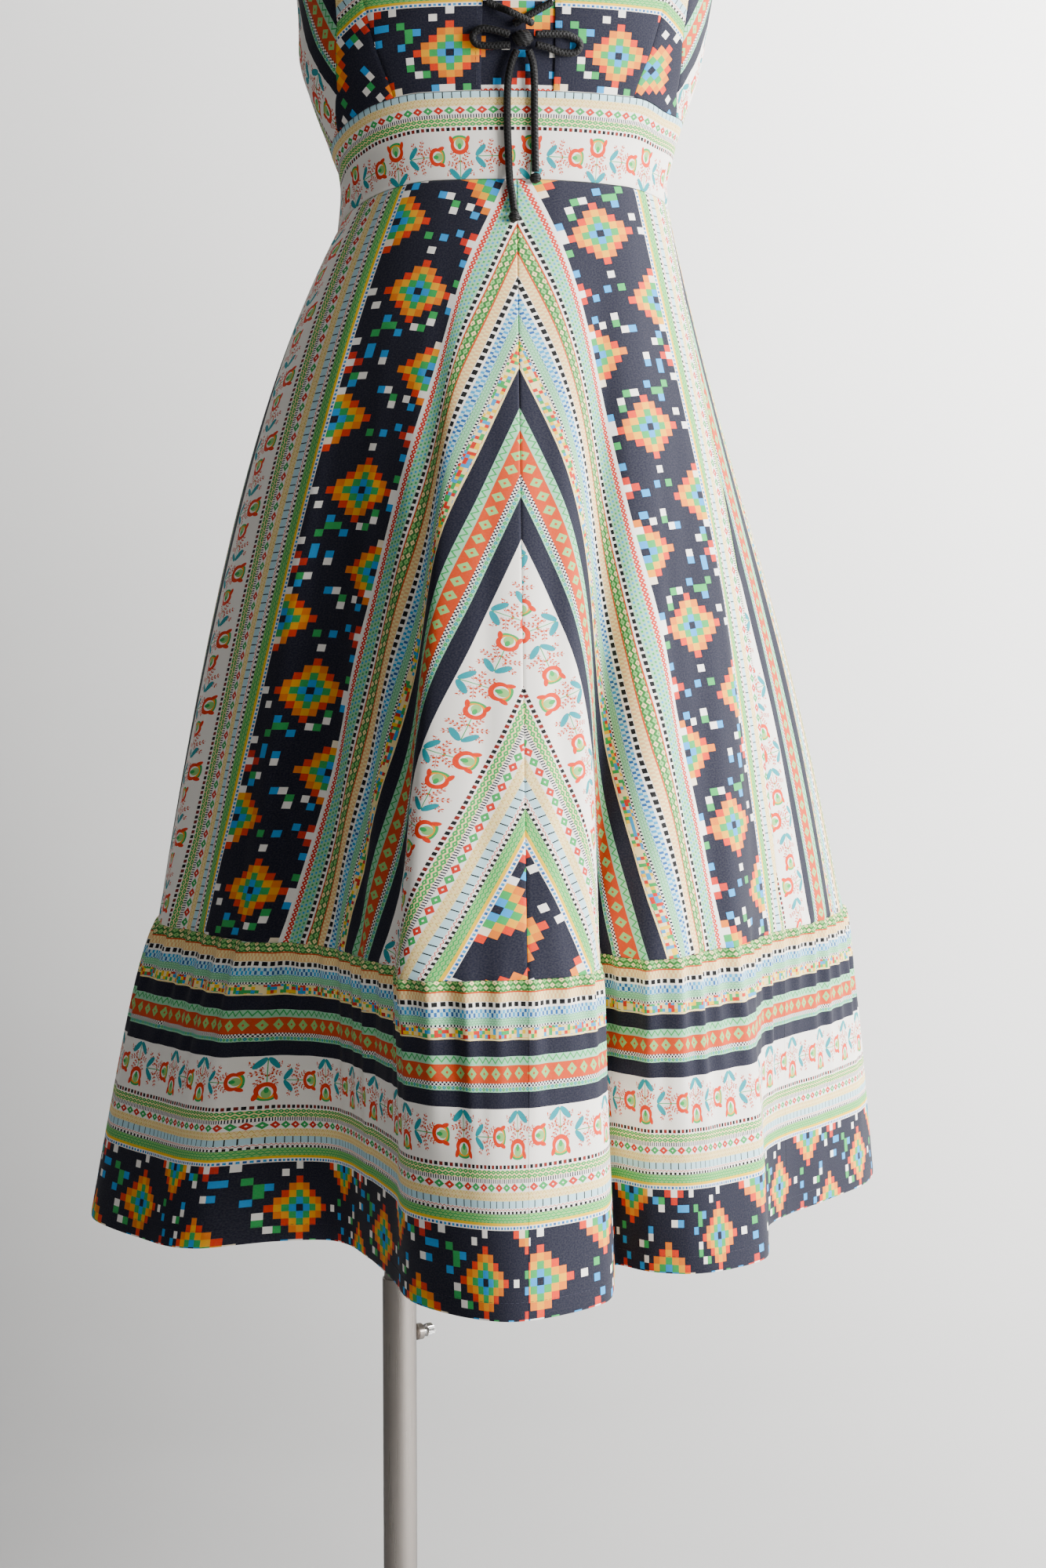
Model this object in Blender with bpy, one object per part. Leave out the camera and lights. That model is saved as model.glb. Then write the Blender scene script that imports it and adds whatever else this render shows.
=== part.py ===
"""Day dress on a limbless dress form with a steel stand.

Blender 4.5, metres, +Z up. The front of the dress faces -Y. The origin is the
centre of the base plate's underside, under the pole. Left and right are the
viewer's, looking at the front.

The dress is a wall of cloth. Above the waist it is offset from the form's own
sections. Below the waist its rings run through one control point for each
fold, from the waist seam to the flounce seam and on to the hem.
"""
from bisect import bisect_right
from collections import namedtuple
from math import asin, atan2, cos, degrees, exp, pi, radians, sin, sqrt

import bmesh
import bpy
from mathutils import Matrix, Vector

# Stand
BASE_RADIUS = 0.175
BASE_THICK = 0.008
BASE_EDGE = 0.002
HUB_RADIUS = 0.024
HUB_HEIGHT = 0.022
OUTER_TUBE_RADIUS = 0.0127
OUTER_TUBE_BORE = 0.0117
OUTER_TUBE_TOP = 0.450
INNER_TUBE_RADIUS = 0.0114
INNER_TUBE_WALL = 0.0015
INNER_TUBE_BOTTOM = 0.120
INNER_TUBE_TOP = 1.030
CLAMP_HEIGHT = 0.406
CLAMP_TURN = radians(30.0)
NUT_RADIUS = 0.0062
NUT_LENGTH = 0.006
SCREW_RADIUS = 0.0028
SCREW_HEAD_RADIUS = 0.0050
SCREW_HEAD_LENGTH = 0.0065
SCREW_REACH = 0.0165

# Form
FORM_X = 0.079
FORM_Y = -0.007
FORM_BOTTOM = 0.930
FORM_TOP = 1.640
FORM_COLUMNS = 28
SHOULDER_SLOPE = 0.34
SHOULDER_START = 0.060
SHOULDER_LOW = 1.44
SHOULDER_HIGH = 1.60
TURN_UP_START = 1.46
TURN_UP_LENGTH = 0.10
NECK_WIDE = 0.056
NECK_BACK = 0.004
NECK_TOP = 1.712
SOCKET_RADIUS = 0.030
SOCKET_THICK = 0.004

# Cloth
WALL = 0.0016
GAP = 0.0003
HALF_GAP = GAP / 2
PANEL_RADIUS = 0.12
BAND_GAP = 0.00025
LAP_GAP = 0.0004
SEAM_HEIGHT = 0.730
GATHERS = 84
GATHER_DEPTH = 0.0026
GATHER_FADE = 0.22
GATHER_MEAN = 0.72
GATHER_SLOW = 5.0
GATHER_QUICK = 11.0
FLOUNCE_SPREAD = 0.75
FOLD_GROWTH = 1.6
SKIRT_COLUMNS = 88
SKIRT_ROWS = 8
FLOUNCE_ROWS = (0.0, 0.08, 0.20, 0.48, 1.0)
OPENING_HALF = 0.0235
UNDERLAY_HALF = 0.036
UNDERLAY_THICK = 0.0012
UNDERLAY_GAP = 0.0005
UNDERLAY_TOP = 1.450

# Lace
LACE_RADIUS = 0.0026
LACE_PITCH = 0.030
LACE_BOTTOM = 1.3725
KNOT_HEIGHT = 1.345
KNOT_X = 0.0025
KNOT_SIZE = (0.0075, 0.0052, 0.0060)
END_KNOT_SIZE = (0.0042, 0.0036, 0.0039)
LONG_TAIL_END = 1.2285
SHORT_TAIL_END = 1.2560

# Zip
ZIP_TOP = 1.556
ZIP_BOTTOM = 1.140
ZIP_HALF = 0.011
ZIP_THICK = 0.0010
ZIP_DEPTH = 0.0034
ZIP_STOP = 0.001
SLIDER_LENGTH = 0.009
SLIDER_WIDTH = 0.0055
SLIDER_THICK = 0.0026
PULL_LENGTH = 0.021
PULL_WIDTH = 0.0045
PULL_THICK = 0.0012
PULL_EYE = 0.0008
PULL_GAP = 0.0006

Section = namedtuple("Section", "height half_width front back")
BODY = (
    Section(0.930, 0.138, 0.088, 0.098),
    Section(0.940, 0.147, 0.096, 0.106),
    Section(0.970, 0.153, 0.101, 0.113),
    Section(1.000, 0.155, 0.102, 0.116),
    Section(1.050, 0.150, 0.102, 0.112),
    Section(1.100, 0.140, 0.100, 0.103),
    Section(1.140, 0.130, 0.098, 0.094),
    Section(1.180, 0.120, 0.095, 0.086),
    Section(1.210, 0.114, 0.093, 0.082),
    Section(1.250, 0.112, 0.093, 0.080),
    Section(1.280, 0.1155, 0.096, 0.084),
    Section(1.311, 0.122, 0.100, 0.089),
    Section(1.345, 0.129, 0.106, 0.094),
    Section(1.380, 0.135, 0.113, 0.098),
    Section(1.420, 0.143, 0.124, 0.101),
    Section(1.460, 0.149, 0.129, 0.102),
    Section(1.500, 0.152, 0.117, 0.100),
    Section(1.550, 0.155, 0.088, 0.090),
    Section(1.590, 0.157, 0.060, 0.067),
    Section(1.615, 0.1565, 0.040, 0.045),
    Section(1.630, 0.1545, 0.024, 0.027),
    Section(1.638, 0.1515, 0.010, 0.011),
    Section(1.640, 0.1490, 0.0, 0.0),
)

Ease = namedtuple("Ease", "height left right front back")
EASE = (
    Ease(1.210, 0.0070, 0.0040, 0.0055, 0.0060),
    Ease(1.250, 0.0054, 0.0044, 0.0050, 0.0060),
    Ease(1.280, 0.0100, 0.0060, 0.0055, 0.0060),
    Ease(1.311, 0.0154, 0.0094, 0.0064, 0.0070),
    Ease(1.340, 0.0182, 0.0124, 0.0080, 0.0080),
    Ease(1.365, 0.0146, 0.0124, 0.0084, 0.0080),
    Ease(1.395, 0.0110, 0.0114, 0.0075, 0.0070),
    Ease(1.460, 0.0050, 0.0050, 0.0035, 0.0050),
    Ease(1.520, 0.0034, 0.0034, 0.0032, 0.0045),
    Ease(1.570, 0.0026, 0.0026, 0.0026, 0.0040),
    Ease(1.600, 0.0022, 0.0022, 0.0022, 0.0024),
    Ease(1.630, 0.0014, 0.0014, 0.0014, 0.0014),
    Ease(1.640, 0.0005, 0.0005, 0.0005, 0.0005),
)

# Heights of the seams round the dress, by angle from the centre front
SeamLine = namedtuple("SeamLine", "angle band_top band_bottom hem")
SEAMS = (
    SeamLine(-180.0, 1.2850, 1.2250, 0.5200),
    SeamLine(-95.0, 1.2766, 1.2168, 0.5190),
    SeamLine(-75.0, 1.2860, 1.2310, 0.5180),
    SeamLine(-60.0, 1.2960, 1.2400, 0.5170),
    SeamLine(-48.0, 1.3040, 1.2460, 0.5167),
    SeamLine(-30.0, 1.3100, 1.2510, 0.5160),
    SeamLine(0.0, 1.3110, 1.2515, 0.5140),
    SeamLine(42.0, 1.3095, 1.2490, 0.5145),
    SeamLine(60.0, 1.3020, 1.2450, 0.5180),
    SeamLine(85.0, 1.2990, 1.2390, 0.5200),
    SeamLine(120.0, 1.2900, 1.2300, 0.5210),
    SeamLine(180.0, 1.2850, 1.2250, 0.5200),
)

# Edges of the bodice panels, as angles on the form's sections
EdgeAngle = namedtuple("EdgeAngle", "height angle")
NECK_EDGE = (
    EdgeAngle(1.300, 11.3),
    EdgeAngle(1.380, 10.0),
    EdgeAngle(1.450, 9.1),
    EdgeAngle(1.462, 13.0),
    EdgeAngle(1.478, 18.0),
    EdgeAngle(1.505, 22.5),
    EdgeAngle(1.550, 24.5),
    EdgeAngle(1.640, 25.5),
)
PRINCESS_EDGE = (
    EdgeAngle(1.300, 40.0),
    EdgeAngle(1.345, 44.0),
    EdgeAngle(1.380, 47.0),
    EdgeAngle(1.420, 49.0),
    EdgeAngle(1.480, 53.0),
    EdgeAngle(1.530, 56.5),
    EdgeAngle(1.560, 54.5),
    EdgeAngle(1.640, 54.0),
)
SIDE_EDGE = (
    EdgeAngle(1.210, 78.0),
    EdgeAngle(1.240, 77.0),
    EdgeAngle(1.270, 75.0),
    EdgeAngle(1.295, 70.0),
    EdgeAngle(1.320, 63.0),
    EdgeAngle(1.360, 58.0),
    EdgeAngle(1.400, 58.0),
    EdgeAngle(1.470, 66.0),
    EdgeAngle(1.480, 81.0),
    EdgeAngle(1.495, 95.0),
    EdgeAngle(1.520, 108.0),
    EdgeAngle(1.560, 118.0),
    EdgeAngle(1.640, 126.0),
)
BACK_NECK_EDGE = (
    EdgeAngle(1.300, 180.0),
    EdgeAngle(1.565, 180.0),
    EdgeAngle(1.578, 171.0),
    EdgeAngle(1.592, 163.0),
    EdgeAngle(1.615, 157.0),
    EdgeAngle(1.640, 154.0),
)
ARMHOLE_FRONT = 1.530
ARMHOLE_SIDE = 1.470
MIDRIFF_LOW = 1.240
MIDRIFF_HIGH = 1.300
BODICE_FOOT = 1.300
FOOT_FADE = 0.10
FRONT_ROWS = (
    1.30, 1.335, 1.365, 1.395, 1.422, 1.45, 1.462, 1.478, 1.505, 1.53,
    1.56, 1.592, 1.615, 1.63, 1.638, 1.64,
)
BACK_ROWS = (1.48, 1.495, 1.52, 1.54, 1.56, 1.578, 1.592, 1.615, 1.63, 1.638, 1.64)

# One row for each crest, wall and hollow of the folds, round from the left
Fold = namedtuple("Fold", "name seam_angle seam_radius hem_angle hem_radius")
FOLDS = (
    Fold("left_crest", -72.6, 0.263, -76.0, 0.3115),
    Fold("left_slope", -63.6, 0.256, -64.0, 0.300),
    Fold("wave_crest", -47.4, 0.258, -53.5, 0.284),
    Fold("wave_wall", -42.5, 0.242, -49.0, 0.232),
    Fold("wave_hollow", -33.4, 0.246, -41.0, 0.202),
    Fold("first_step", -23.3, 0.287, -28.7, 0.230),
    Fold("centre_left_wall", -17.7, 0.314, -20.3, 0.279),
    Fold("centre_left_edge", -15.3, 0.360, -15.0, 0.332),
    Fold("centre_left_crest", -9.5, 0.363, -8.2, 0.365),
    Fold("centre_front", -2.4, 0.356, -2.4, 0.370),
    Fold("centre_right_crest", 4.2, 0.338, 6.4, 0.332),
    Fold("centre_right_wall", 6.6, 0.312, 9.6, 0.292),
    Fold("centre_right_tuck", 9.4, 0.252, 13.6, 0.236),
    Fold("second_crest", 13.6, 0.287, 17.2, 0.262),
    Fold("second_face", 19.2, 0.287, 22.0, 0.279),
    Fold("second_slope", 27.6, 0.264, 29.5, 0.280),
    Fold("second_wall", 33.0, 0.262, 37.0, 0.270),
    Fold("third_hollow", 40.5, 0.245, 49.7, 0.226),
    Fold("right_side", 50.5, 0.235, 60.5, 0.222),
    Fold("right_slope", 62.1, 0.239, 72.4, 0.238),
    Fold("right_crest", 78.0, 0.247, 87.0, 0.2705),
    Fold("right_back_crest", 92.0, 0.249, 99.0, 0.284),
    Fold("back_hollow_1", 104.0, 0.240, 109.0, 0.250),
    Fold("back_crest_1", 121.0, 0.264, 125.0, 0.296),
    Fold("back_hollow_2", 136.0, 0.222, 140.0, 0.214),
    Fold("back_crest_2", 145.0, 0.246, 148.0, 0.270),
    Fold("back_hollow_3", 155.0, 0.228, 157.0, 0.226),
    Fold("back_crest_3", 170.0, 0.252, 169.0, 0.290),
    Fold("centre_back", 180.0, 0.246, 180.0, 0.268),
    Fold("back_hollow_4", 192.0, 0.218, 193.0, 0.206),
    Fold("back_crest_4", 204.0, 0.240, 204.0, 0.262),
    Fold("back_hollow_5", 213.0, 0.226, 213.0, 0.222),
    Fold("back_crest_5", 231.0, 0.262, 231.0, 0.300),
    Fold("back_hollow_6", 246.0, 0.230, 247.0, 0.224),
    Fold("left_back_slope", 257.0, 0.246, 257.0, 0.270),
    Fold("left_side", 272.0, 0.251, 271.0, 0.294),
)

# The skirt's four seams, as angles at the waist
Gore = namedtuple("Gore", "fold waist_angle")
GORES = (
    Gore("centre_front", 0.0),
    Gore("right_side", 77.0),
    Gore("centre_back", 180.0),
    Gore("left_side", 283.0),
)
BASE_LEFT = 0.252
BASE_RIGHT = 0.248
BASE_FRONT = 0.285
BASE_BACK = 0.240
FLARE_BOW = 0.39
FLARE_BOW_SIDE = 0.11
HIP_BOW = 0.03
HIP_BOW_SIDE = 0.47

COLOURS = {
    "print": (0.62, 0.60, 0.50),
    "navy_print": (0.05, 0.06, 0.12),
    "lace": (0.012, 0.012, 0.014),
    "form": (0.80, 0.79, 0.76),
    "steel": (0.55, 0.54, 0.53),
    "chrome": (0.75, 0.75, 0.76),
    "plate": (0.60, 0.60, 0.61),
    "zip": (0.06, 0.06, 0.08),
}


def smooth(value):
    """Ease from 0 to 1, flat at both ends."""
    value = min(1.0, max(0.0, value))
    return value * value * (3.0 - 2.0 * value)


def mix(start, end, share):
    return start + (end - start) * share


def slope_at(keys, values, index):
    """Slope of a curve through the points that never overshoots them."""
    if index in (0, len(keys) - 1):
        return 0.0
    before = (values[index] - values[index - 1]) / (keys[index] - keys[index - 1])
    after = (values[index + 1] - values[index]) / (keys[index + 1] - keys[index])
    if before * after <= 0.0:
        return 0.0
    return 2.0 * before * after / (before + after)


def table_value(rows, column, key):
    """Read a named column of a table at a key, on a smooth curve."""
    keys = [row[0] for row in rows]
    values = [getattr(row, column) for row in rows]
    if key <= keys[0]:
        return values[0]
    if key >= keys[-1]:
        return values[-1]
    index = bisect_right(keys, key) - 1
    width = keys[index + 1] - keys[index]
    share = (key - keys[index]) / width
    start_slope = slope_at(keys, values, index) * width
    end_slope = slope_at(keys, values, index + 1) * width
    square = share * share
    cube = square * share
    return (
        (2 * cube - 3 * square + 1) * values[index]
        + (cube - 2 * square + share) * start_slope
        + (3 * square - 2 * cube) * values[index + 1]
        + (cube - square) * end_slope
    )


def seam_height(column, angle):
    """Height of a seam at an angle of any size."""
    wrapped = (angle + 180.0) % 360.0 - 180.0
    return table_value(SEAMS, column, wrapped)


def body_point(angle, height):
    """A point of the form's skin, at an angle from the centre front."""
    turn = radians(angle)
    depth_column = "front" if cos(turn) > 0.0 else "back"
    x = table_value(BODY, "half_width", height) * sin(turn)
    y = -table_value(BODY, depth_column, height) * cos(turn)
    low = smooth((height - SHOULDER_LOW) / (SHOULDER_HIGH - SHOULDER_LOW))
    drop = SHOULDER_SLOPE * max(0.0, abs(x) - SHOULDER_START) * low
    return Vector((FORM_X + x, FORM_Y + y, height - drop))


def body_normal(angle, height):
    """Outward normal: level below the bust, turning upward at the shoulder."""
    step = 0.5
    rise = 0.001
    level = min(height, FORM_TOP - 2 * rise)
    along = body_point(angle + step, level) - body_point(angle - step, level)
    flat = Vector((along.y, -along.x, 0.0)).normalized()
    up = body_point(angle, level + rise) - body_point(angle, level - rise)
    full = along.cross(up).normalized()
    share = smooth((height - TURN_UP_START) / TURN_UP_LENGTH)
    return (flat * (1.0 - share) + full * share).normalized()


def ease_at(angle, height):
    """Room between the form's skin and the cloth."""
    turn = radians(angle)
    side = table_value(EASE, "right" if sin(turn) > 0.0 else "left", height)
    middle = table_value(EASE, "front" if cos(turn) > 0.0 else "back", height)
    return side * sin(turn) ** 2 + middle * cos(turn) ** 2


def cloth_point(angle, height, depth=0.0):
    """A point of the bodice or band: depth 0 is outside, WALL is inside."""
    out = WALL + ease_at(angle, height) - depth
    return body_point(angle, height) + body_normal(angle, height) * out


def polar(angle, radius):
    turn = radians(angle)
    return Vector((FORM_X + radius * sin(turn), FORM_Y - radius * cos(turn)))


def base_radius(angle):
    """The skirt's plain outline at the flounce seam, without its folds."""
    turn = radians(angle)
    side = BASE_RIGHT if sin(turn) > 0.0 else BASE_LEFT
    middle = BASE_FRONT if cos(turn) > 0.0 else BASE_BACK
    return 1.0 / sqrt((sin(turn) / side) ** 2 + (cos(turn) / middle) ** 2)


def fold_marks():
    """Share of the way round at which each fold stands, and its waist angle."""
    points = [polar(fold.seam_angle, fold.seam_radius) for fold in FOLDS]
    points.append(points[0])
    lengths = [0.0]
    for start, end in zip(points, points[1:]):
        lengths.append(lengths[-1] + (end - start).length)
    marks = [length / lengths[-1] for length in lengths]
    names = [fold.name for fold in FOLDS]
    seams = [(marks[names.index(gore.fold)], gore.waist_angle) for gore in GORES]
    first_mark, first_angle = seams[0]
    last_mark, last_angle = seams[-1]
    seams.insert(0, (last_mark - 1.0, last_angle - 360.0))
    seams.append((first_mark + 1.0, first_angle + 360.0))
    waist_angles = []
    for mark in marks[:-1]:
        for (low, low_angle), (high, high_angle) in zip(seams, seams[1:]):
            if low <= mark <= high:
                share = (mark - low) / (high - low)
                waist_angles.append(mix(low_angle, high_angle, share))
                break
    return marks, waist_angles, lengths[-1]


MARKS, WAIST_ANGLES, SEAM_LENGTH = fold_marks()
MARK_OF = {fold.name: mark for fold, mark in zip(FOLDS, MARKS)}


def skirt_controls(level):
    """Control points of the skirt's ring at a level from 0, waist, to 1, seam."""
    controls = []
    growth = level ** FOLD_GROWTH
    for fold, waist_angle in zip(FOLDS, WAIST_ANGLES):
        waist = cloth_point(waist_angle, seam_height("band_bottom", waist_angle)).to_2d()
        plain = polar(fold.seam_angle, base_radius(fold.seam_angle))
        folded = polar(fold.seam_angle, fold.seam_radius)
        side = sin(radians(fold.seam_angle))
        bow = FLARE_BOW - FLARE_BOW_SIDE * side
        bow += (HIP_BOW - HIP_BOW_SIDE * side) * (1.0 - level) ** 2
        flare = level + bow * level * (1.0 - level)
        controls.append(waist + (plain - waist) * flare + (folded - plain) * growth)
    return controls


def flounce_controls(level):
    """Control points of the flounce's ring at a level from 0, seam, to 1, hem."""
    spread = level ** FLOUNCE_SPREAD
    controls = []
    for fold in FOLDS:
        top = polar(fold.seam_angle, fold.seam_radius)
        bottom = polar(fold.hem_angle, fold.hem_radius)
        controls.append(top + (bottom - top) * spread)
    return controls


def ring_point(controls, share):
    """A point of the smooth closed curve through the control points."""
    share %= 1.0
    count = len(controls)
    index = min(bisect_right(MARKS, share) - 1, count - 1)
    before = controls[(index - 1) % count]
    start = controls[index]
    end = controls[(index + 1) % count]
    after = controls[(index + 2) % count]
    width = MARKS[index + 1] - MARKS[index]
    before_width = MARKS[index] - MARKS[index - 1] if index else 1.0 - MARKS[count - 1]
    after_width = MARKS[index + 2] - MARKS[index + 1] if index + 2 <= count else MARKS[1]
    start_slope = (end - before) * (width / (width + before_width))
    end_slope = (after - start) * (width / (width + after_width))
    local = (share - MARKS[index]) / width
    square = local * local
    cube = square * local
    return (
        start * (2 * cube - 3 * square + 1)
        + start_slope * (cube - 2 * square + local)
        + end * (3 * square - 2 * cube)
        + end_slope * (cube - square)
    )


def ring_normal(controls, share):
    step = 0.0008
    along = ring_point(controls, share + step) - ring_point(controls, share - step)
    return Vector((along.y, -along.x)).normalized()


def waist_angle_at(share):
    """Angle at the waist of the cloth that lies at a share of the way round."""
    share %= 1.0
    index = min(bisect_right(MARKS, share) - 1, len(FOLDS) - 1)
    start = WAIST_ANGLES[index]
    end = WAIST_ANGLES[(index + 1) % len(FOLDS)]
    if end < start:
        end += 360.0
    local = (share - MARKS[index]) / (MARKS[index + 1] - MARKS[index])
    return mix(start, end, local)


def gather_wave(share, level):
    """How far the gathers push the flounce out: even columns crest."""
    turn = share * 2.0 * pi
    swell = sin(turn * GATHER_QUICK + 0.7) * cos(turn * GATHER_SLOW)
    uneven = GATHER_MEAN + (1.0 - GATHER_MEAN) * swell
    return GATHER_DEPTH * uneven * cos(turn * GATHERS) * exp(-((level / GATHER_FADE) ** 2))


def skirt_height(share, level):
    top = seam_height("band_bottom", waist_angle_at(share)) - BAND_GAP
    return mix(top, SEAM_HEIGHT + HALF_GAP, level)


def hem_height(share):
    point = ring_point(flounce_controls(1.0), share)
    angle = degrees(atan2(point.x - FORM_X, FORM_Y - point.y))
    return seam_height("hem", angle)


def wall_object(name, outer, inner, colour):
    """A closed wall between two grids of points with the same rows and columns."""
    rows = len(outer)
    columns = len(outer[0])
    mesh = bpy.data.meshes.new(name)
    build = bmesh.new()
    skins = []
    for grid in (outer, inner):
        skins.append([[build.verts.new(point) for point in row] for row in grid])
    front, back = skins
    for row in range(rows - 1):
        for column in range(columns - 1):
            corners = ((row, column), (row, column + 1), (row + 1, column + 1), (row + 1, column))
            build.faces.new([front[r][c] for r, c in corners])
            build.faces.new([back[r][c] for r, c in reversed(corners)])
    edge = [(0, column) for column in range(columns)]
    edge += [(row, columns - 1) for row in range(1, rows)]
    edge += [(rows - 1, column) for column in range(columns - 2, -1, -1)]
    edge += [(row, 0) for row in range(rows - 2, 0, -1)]
    for (r0, c0), (r1, c1) in zip(edge, edge[1:] + edge[:1]):
        build.faces.new((front[r1][c1], front[r0][c0], back[r0][c0], back[r1][c1]))
    bmesh.ops.triangulate(build, faces=build.faces[:])
    bmesh.ops.recalc_face_normals(build, faces=build.faces[:])
    if build.calc_volume(signed=True) < 0.0:
        bmesh.ops.reverse_faces(build, faces=build.faces[:])
    build.to_mesh(mesh)
    build.free()
    return add_object(name, mesh, colour)


def add_object(name, mesh, colour, angle=40.0):
    """Put a mesh in the scene with its own material, shaded smooth."""
    mesh.shade_smooth()
    mesh.set_sharp_from_angle(angle=radians(angle))
    item = bpy.data.objects.new(name, mesh)
    bpy.context.scene.collection.objects.link(item)
    item.data.materials.append(make_material(name, colour))
    return item


def make_material(name, colour):
    material = bpy.data.materials.new(name)
    material.use_nodes = True
    shader = material.node_tree.nodes["Principled BSDF"]
    metal = colour in ("steel", "chrome", "plate")
    shader.inputs["Base Color"].default_value = (*COLOURS[colour], 1.0)
    shader.inputs["Metallic"].default_value = 1.0 if metal else 0.0
    shader.inputs["Roughness"].default_value = 0.3 if metal else 0.85
    return material


def finish_mesh(name, build, colour):
    """Close a hand-built mesh: faces out, triangles only."""
    bmesh.ops.recalc_face_normals(build, faces=build.faces[:])
    if build.calc_volume(signed=True) < 0.0:
        bmesh.ops.reverse_faces(build, faces=build.faces[:])
    mesh = bpy.data.meshes.new(name)
    build.to_mesh(mesh)
    build.free()
    return add_object(name, mesh, colour)


def turned(name, profile, colour, sides=24, closed=False):
    """Turn a profile of (radius, height) pairs about +Z."""
    build = bmesh.new()
    rings = []
    for radius, height in profile:
        ring = []
        for side in range(sides):
            turn = 2.0 * pi * side / sides
            ring.append(build.verts.new((radius * cos(turn), radius * sin(turn), height)))
        rings.append(ring)
    pairs = list(zip(rings, rings[1:]))
    if closed:
        pairs.append((rings[-1], rings[0]))
    for low, high in pairs:
        for side in range(sides):
            after = (side + 1) % sides
            build.faces.new((low[side], low[after], high[after], high[side]))
    if not closed:
        build.faces.new(reversed(rings[0]))
        build.faces.new(rings[-1])
    return finish_mesh(name, build, colour)


def lay_along(item, base, direction):
    """Turn a piece made along +Z so that it points along a direction."""
    turn = Vector((0.0, 0.0, 1.0)).rotation_difference(direction)
    item.rotation_mode = "QUATERNION"
    item.rotation_quaternion = turn
    item.location = base
    return item


def cut(item, cutter):
    """Take a cutter's shape out of a piece."""
    cutter.hide_render = True
    cutter.display_type = "WIRE"
    modifier = item.modifiers.new("cut_" + cutter.name, "BOOLEAN")
    modifier.object = cutter
    modifier.operation = "DIFFERENCE"
    modifier.solver = "EXACT"


def foot_shift(height, angle):
    """Move a row near the band so that the lowest one follows the seam."""
    share = max(0.0, 1.0 - (height - BODICE_FOOT) / FOOT_FADE)
    return height + (bodice_foot(angle) - BODICE_FOOT) * share


def edge_spot(edge, height):
    """Angle of a panel's edge at a row, the same for both panels of a seam."""
    angle = edge(height)
    for _ in range(3):
        angle = edge(foot_shift(height, angle))
    return angle


def panel(name, left_rows, right_rows, left_edge, right_edge, columns, colour="print"):
    """One bodice panel between two edges given as angle functions of height."""
    outer = []
    inner = []
    nudge = degrees(HALF_GAP / PANEL_RADIUS)
    for left_height, right_height in zip(left_rows, right_rows):
        outer_row = []
        inner_row = []
        start = edge_spot(left_edge, left_height) + nudge
        end = edge_spot(right_edge, right_height) - nudge
        for column in range(columns + 1):
            share = column / columns
            angle = mix(start, end, share)
            height = mix(left_height, right_height, share)
            if height >= FORM_TOP:
                top = body_point(angle, FORM_TOP)
                top.y = FORM_Y + (-HALF_GAP if abs(angle) < 90.0 else HALF_GAP)
                top.z += ease_at(angle, FORM_TOP)
                inner_row.append(top)
                outer_row.append(top + Vector((0.0, 0.0, WALL)))
            else:
                level = foot_shift(height, angle)
                outer_row.append(cloth_point(angle, level))
                inner_row.append(cloth_point(angle, level, WALL))
        outer.append(outer_row)
        inner.append(inner_row)
    return wall_object(name, outer, inner, colour)


def edge_function(rows, sign):
    """An edge of a panel as a function of height, on either side."""
    return lambda height: sign * table_value(rows, "angle", height)


def bodice_foot(angle):
    return seam_height("band_top", angle) + BAND_GAP


def make_bodice():
    """Front, side front and back panels on each side of the lacing."""
    princess_rows = [row for row in FRONT_ROWS if row <= ARMHOLE_FRONT]
    drop = (ARMHOLE_SIDE - BODICE_FOOT) / (ARMHOLE_FRONT - BODICE_FOOT)
    underarm_rows = [BODICE_FOOT + (row - BODICE_FOOT) * drop for row in princess_rows]
    back_rows = underarm_rows + list(BACK_ROWS)
    pieces = (
        ("bodice_front_", FRONT_ROWS, FRONT_ROWS, NECK_EDGE, PRINCESS_EDGE, 7),
        ("bodice_side_front_", princess_rows, underarm_rows, PRINCESS_EDGE, SIDE_EDGE, 6),
        ("bodice_back_", back_rows, back_rows, SIDE_EDGE, BACK_NECK_EDGE, 10),
    )
    for side, sign in (("left", -1.0), ("right", 1.0)):
        for name, near_rows, far_rows, near, far, columns in pieces:
            near_edge = edge_function(near, sign)
            far_edge = edge_function(far, sign)
            if sign > 0.0:
                panel(name + side, near_rows, far_rows, near_edge, far_edge, columns)
            else:
                panel(name + side, far_rows, near_rows, far_edge, near_edge, columns)


def make_underlay():
    """The panel behind the lacing, just inside the two fronts."""
    columns = 6
    outer = []
    inner = []
    for height in (row for row in FRONT_ROWS if row <= UNDERLAY_TOP):
        outer_row = []
        inner_row = []
        for column in range(columns + 1):
            offset = mix(-UNDERLAY_HALF, UNDERLAY_HALF, column / columns)
            angle = degrees(asin(offset / table_value(BODY, "half_width", height)))
            level = foot_shift(height, angle)
            outer_row.append(cloth_point(angle, level, WALL + UNDERLAY_GAP))
            inner_row.append(cloth_point(angle, level, WALL + UNDERLAY_GAP + UNDERLAY_THICK))
        outer.append(outer_row)
        inner.append(inner_row)
    wall_object("lacing_underlay", outer, inner, "navy_print")


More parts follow.
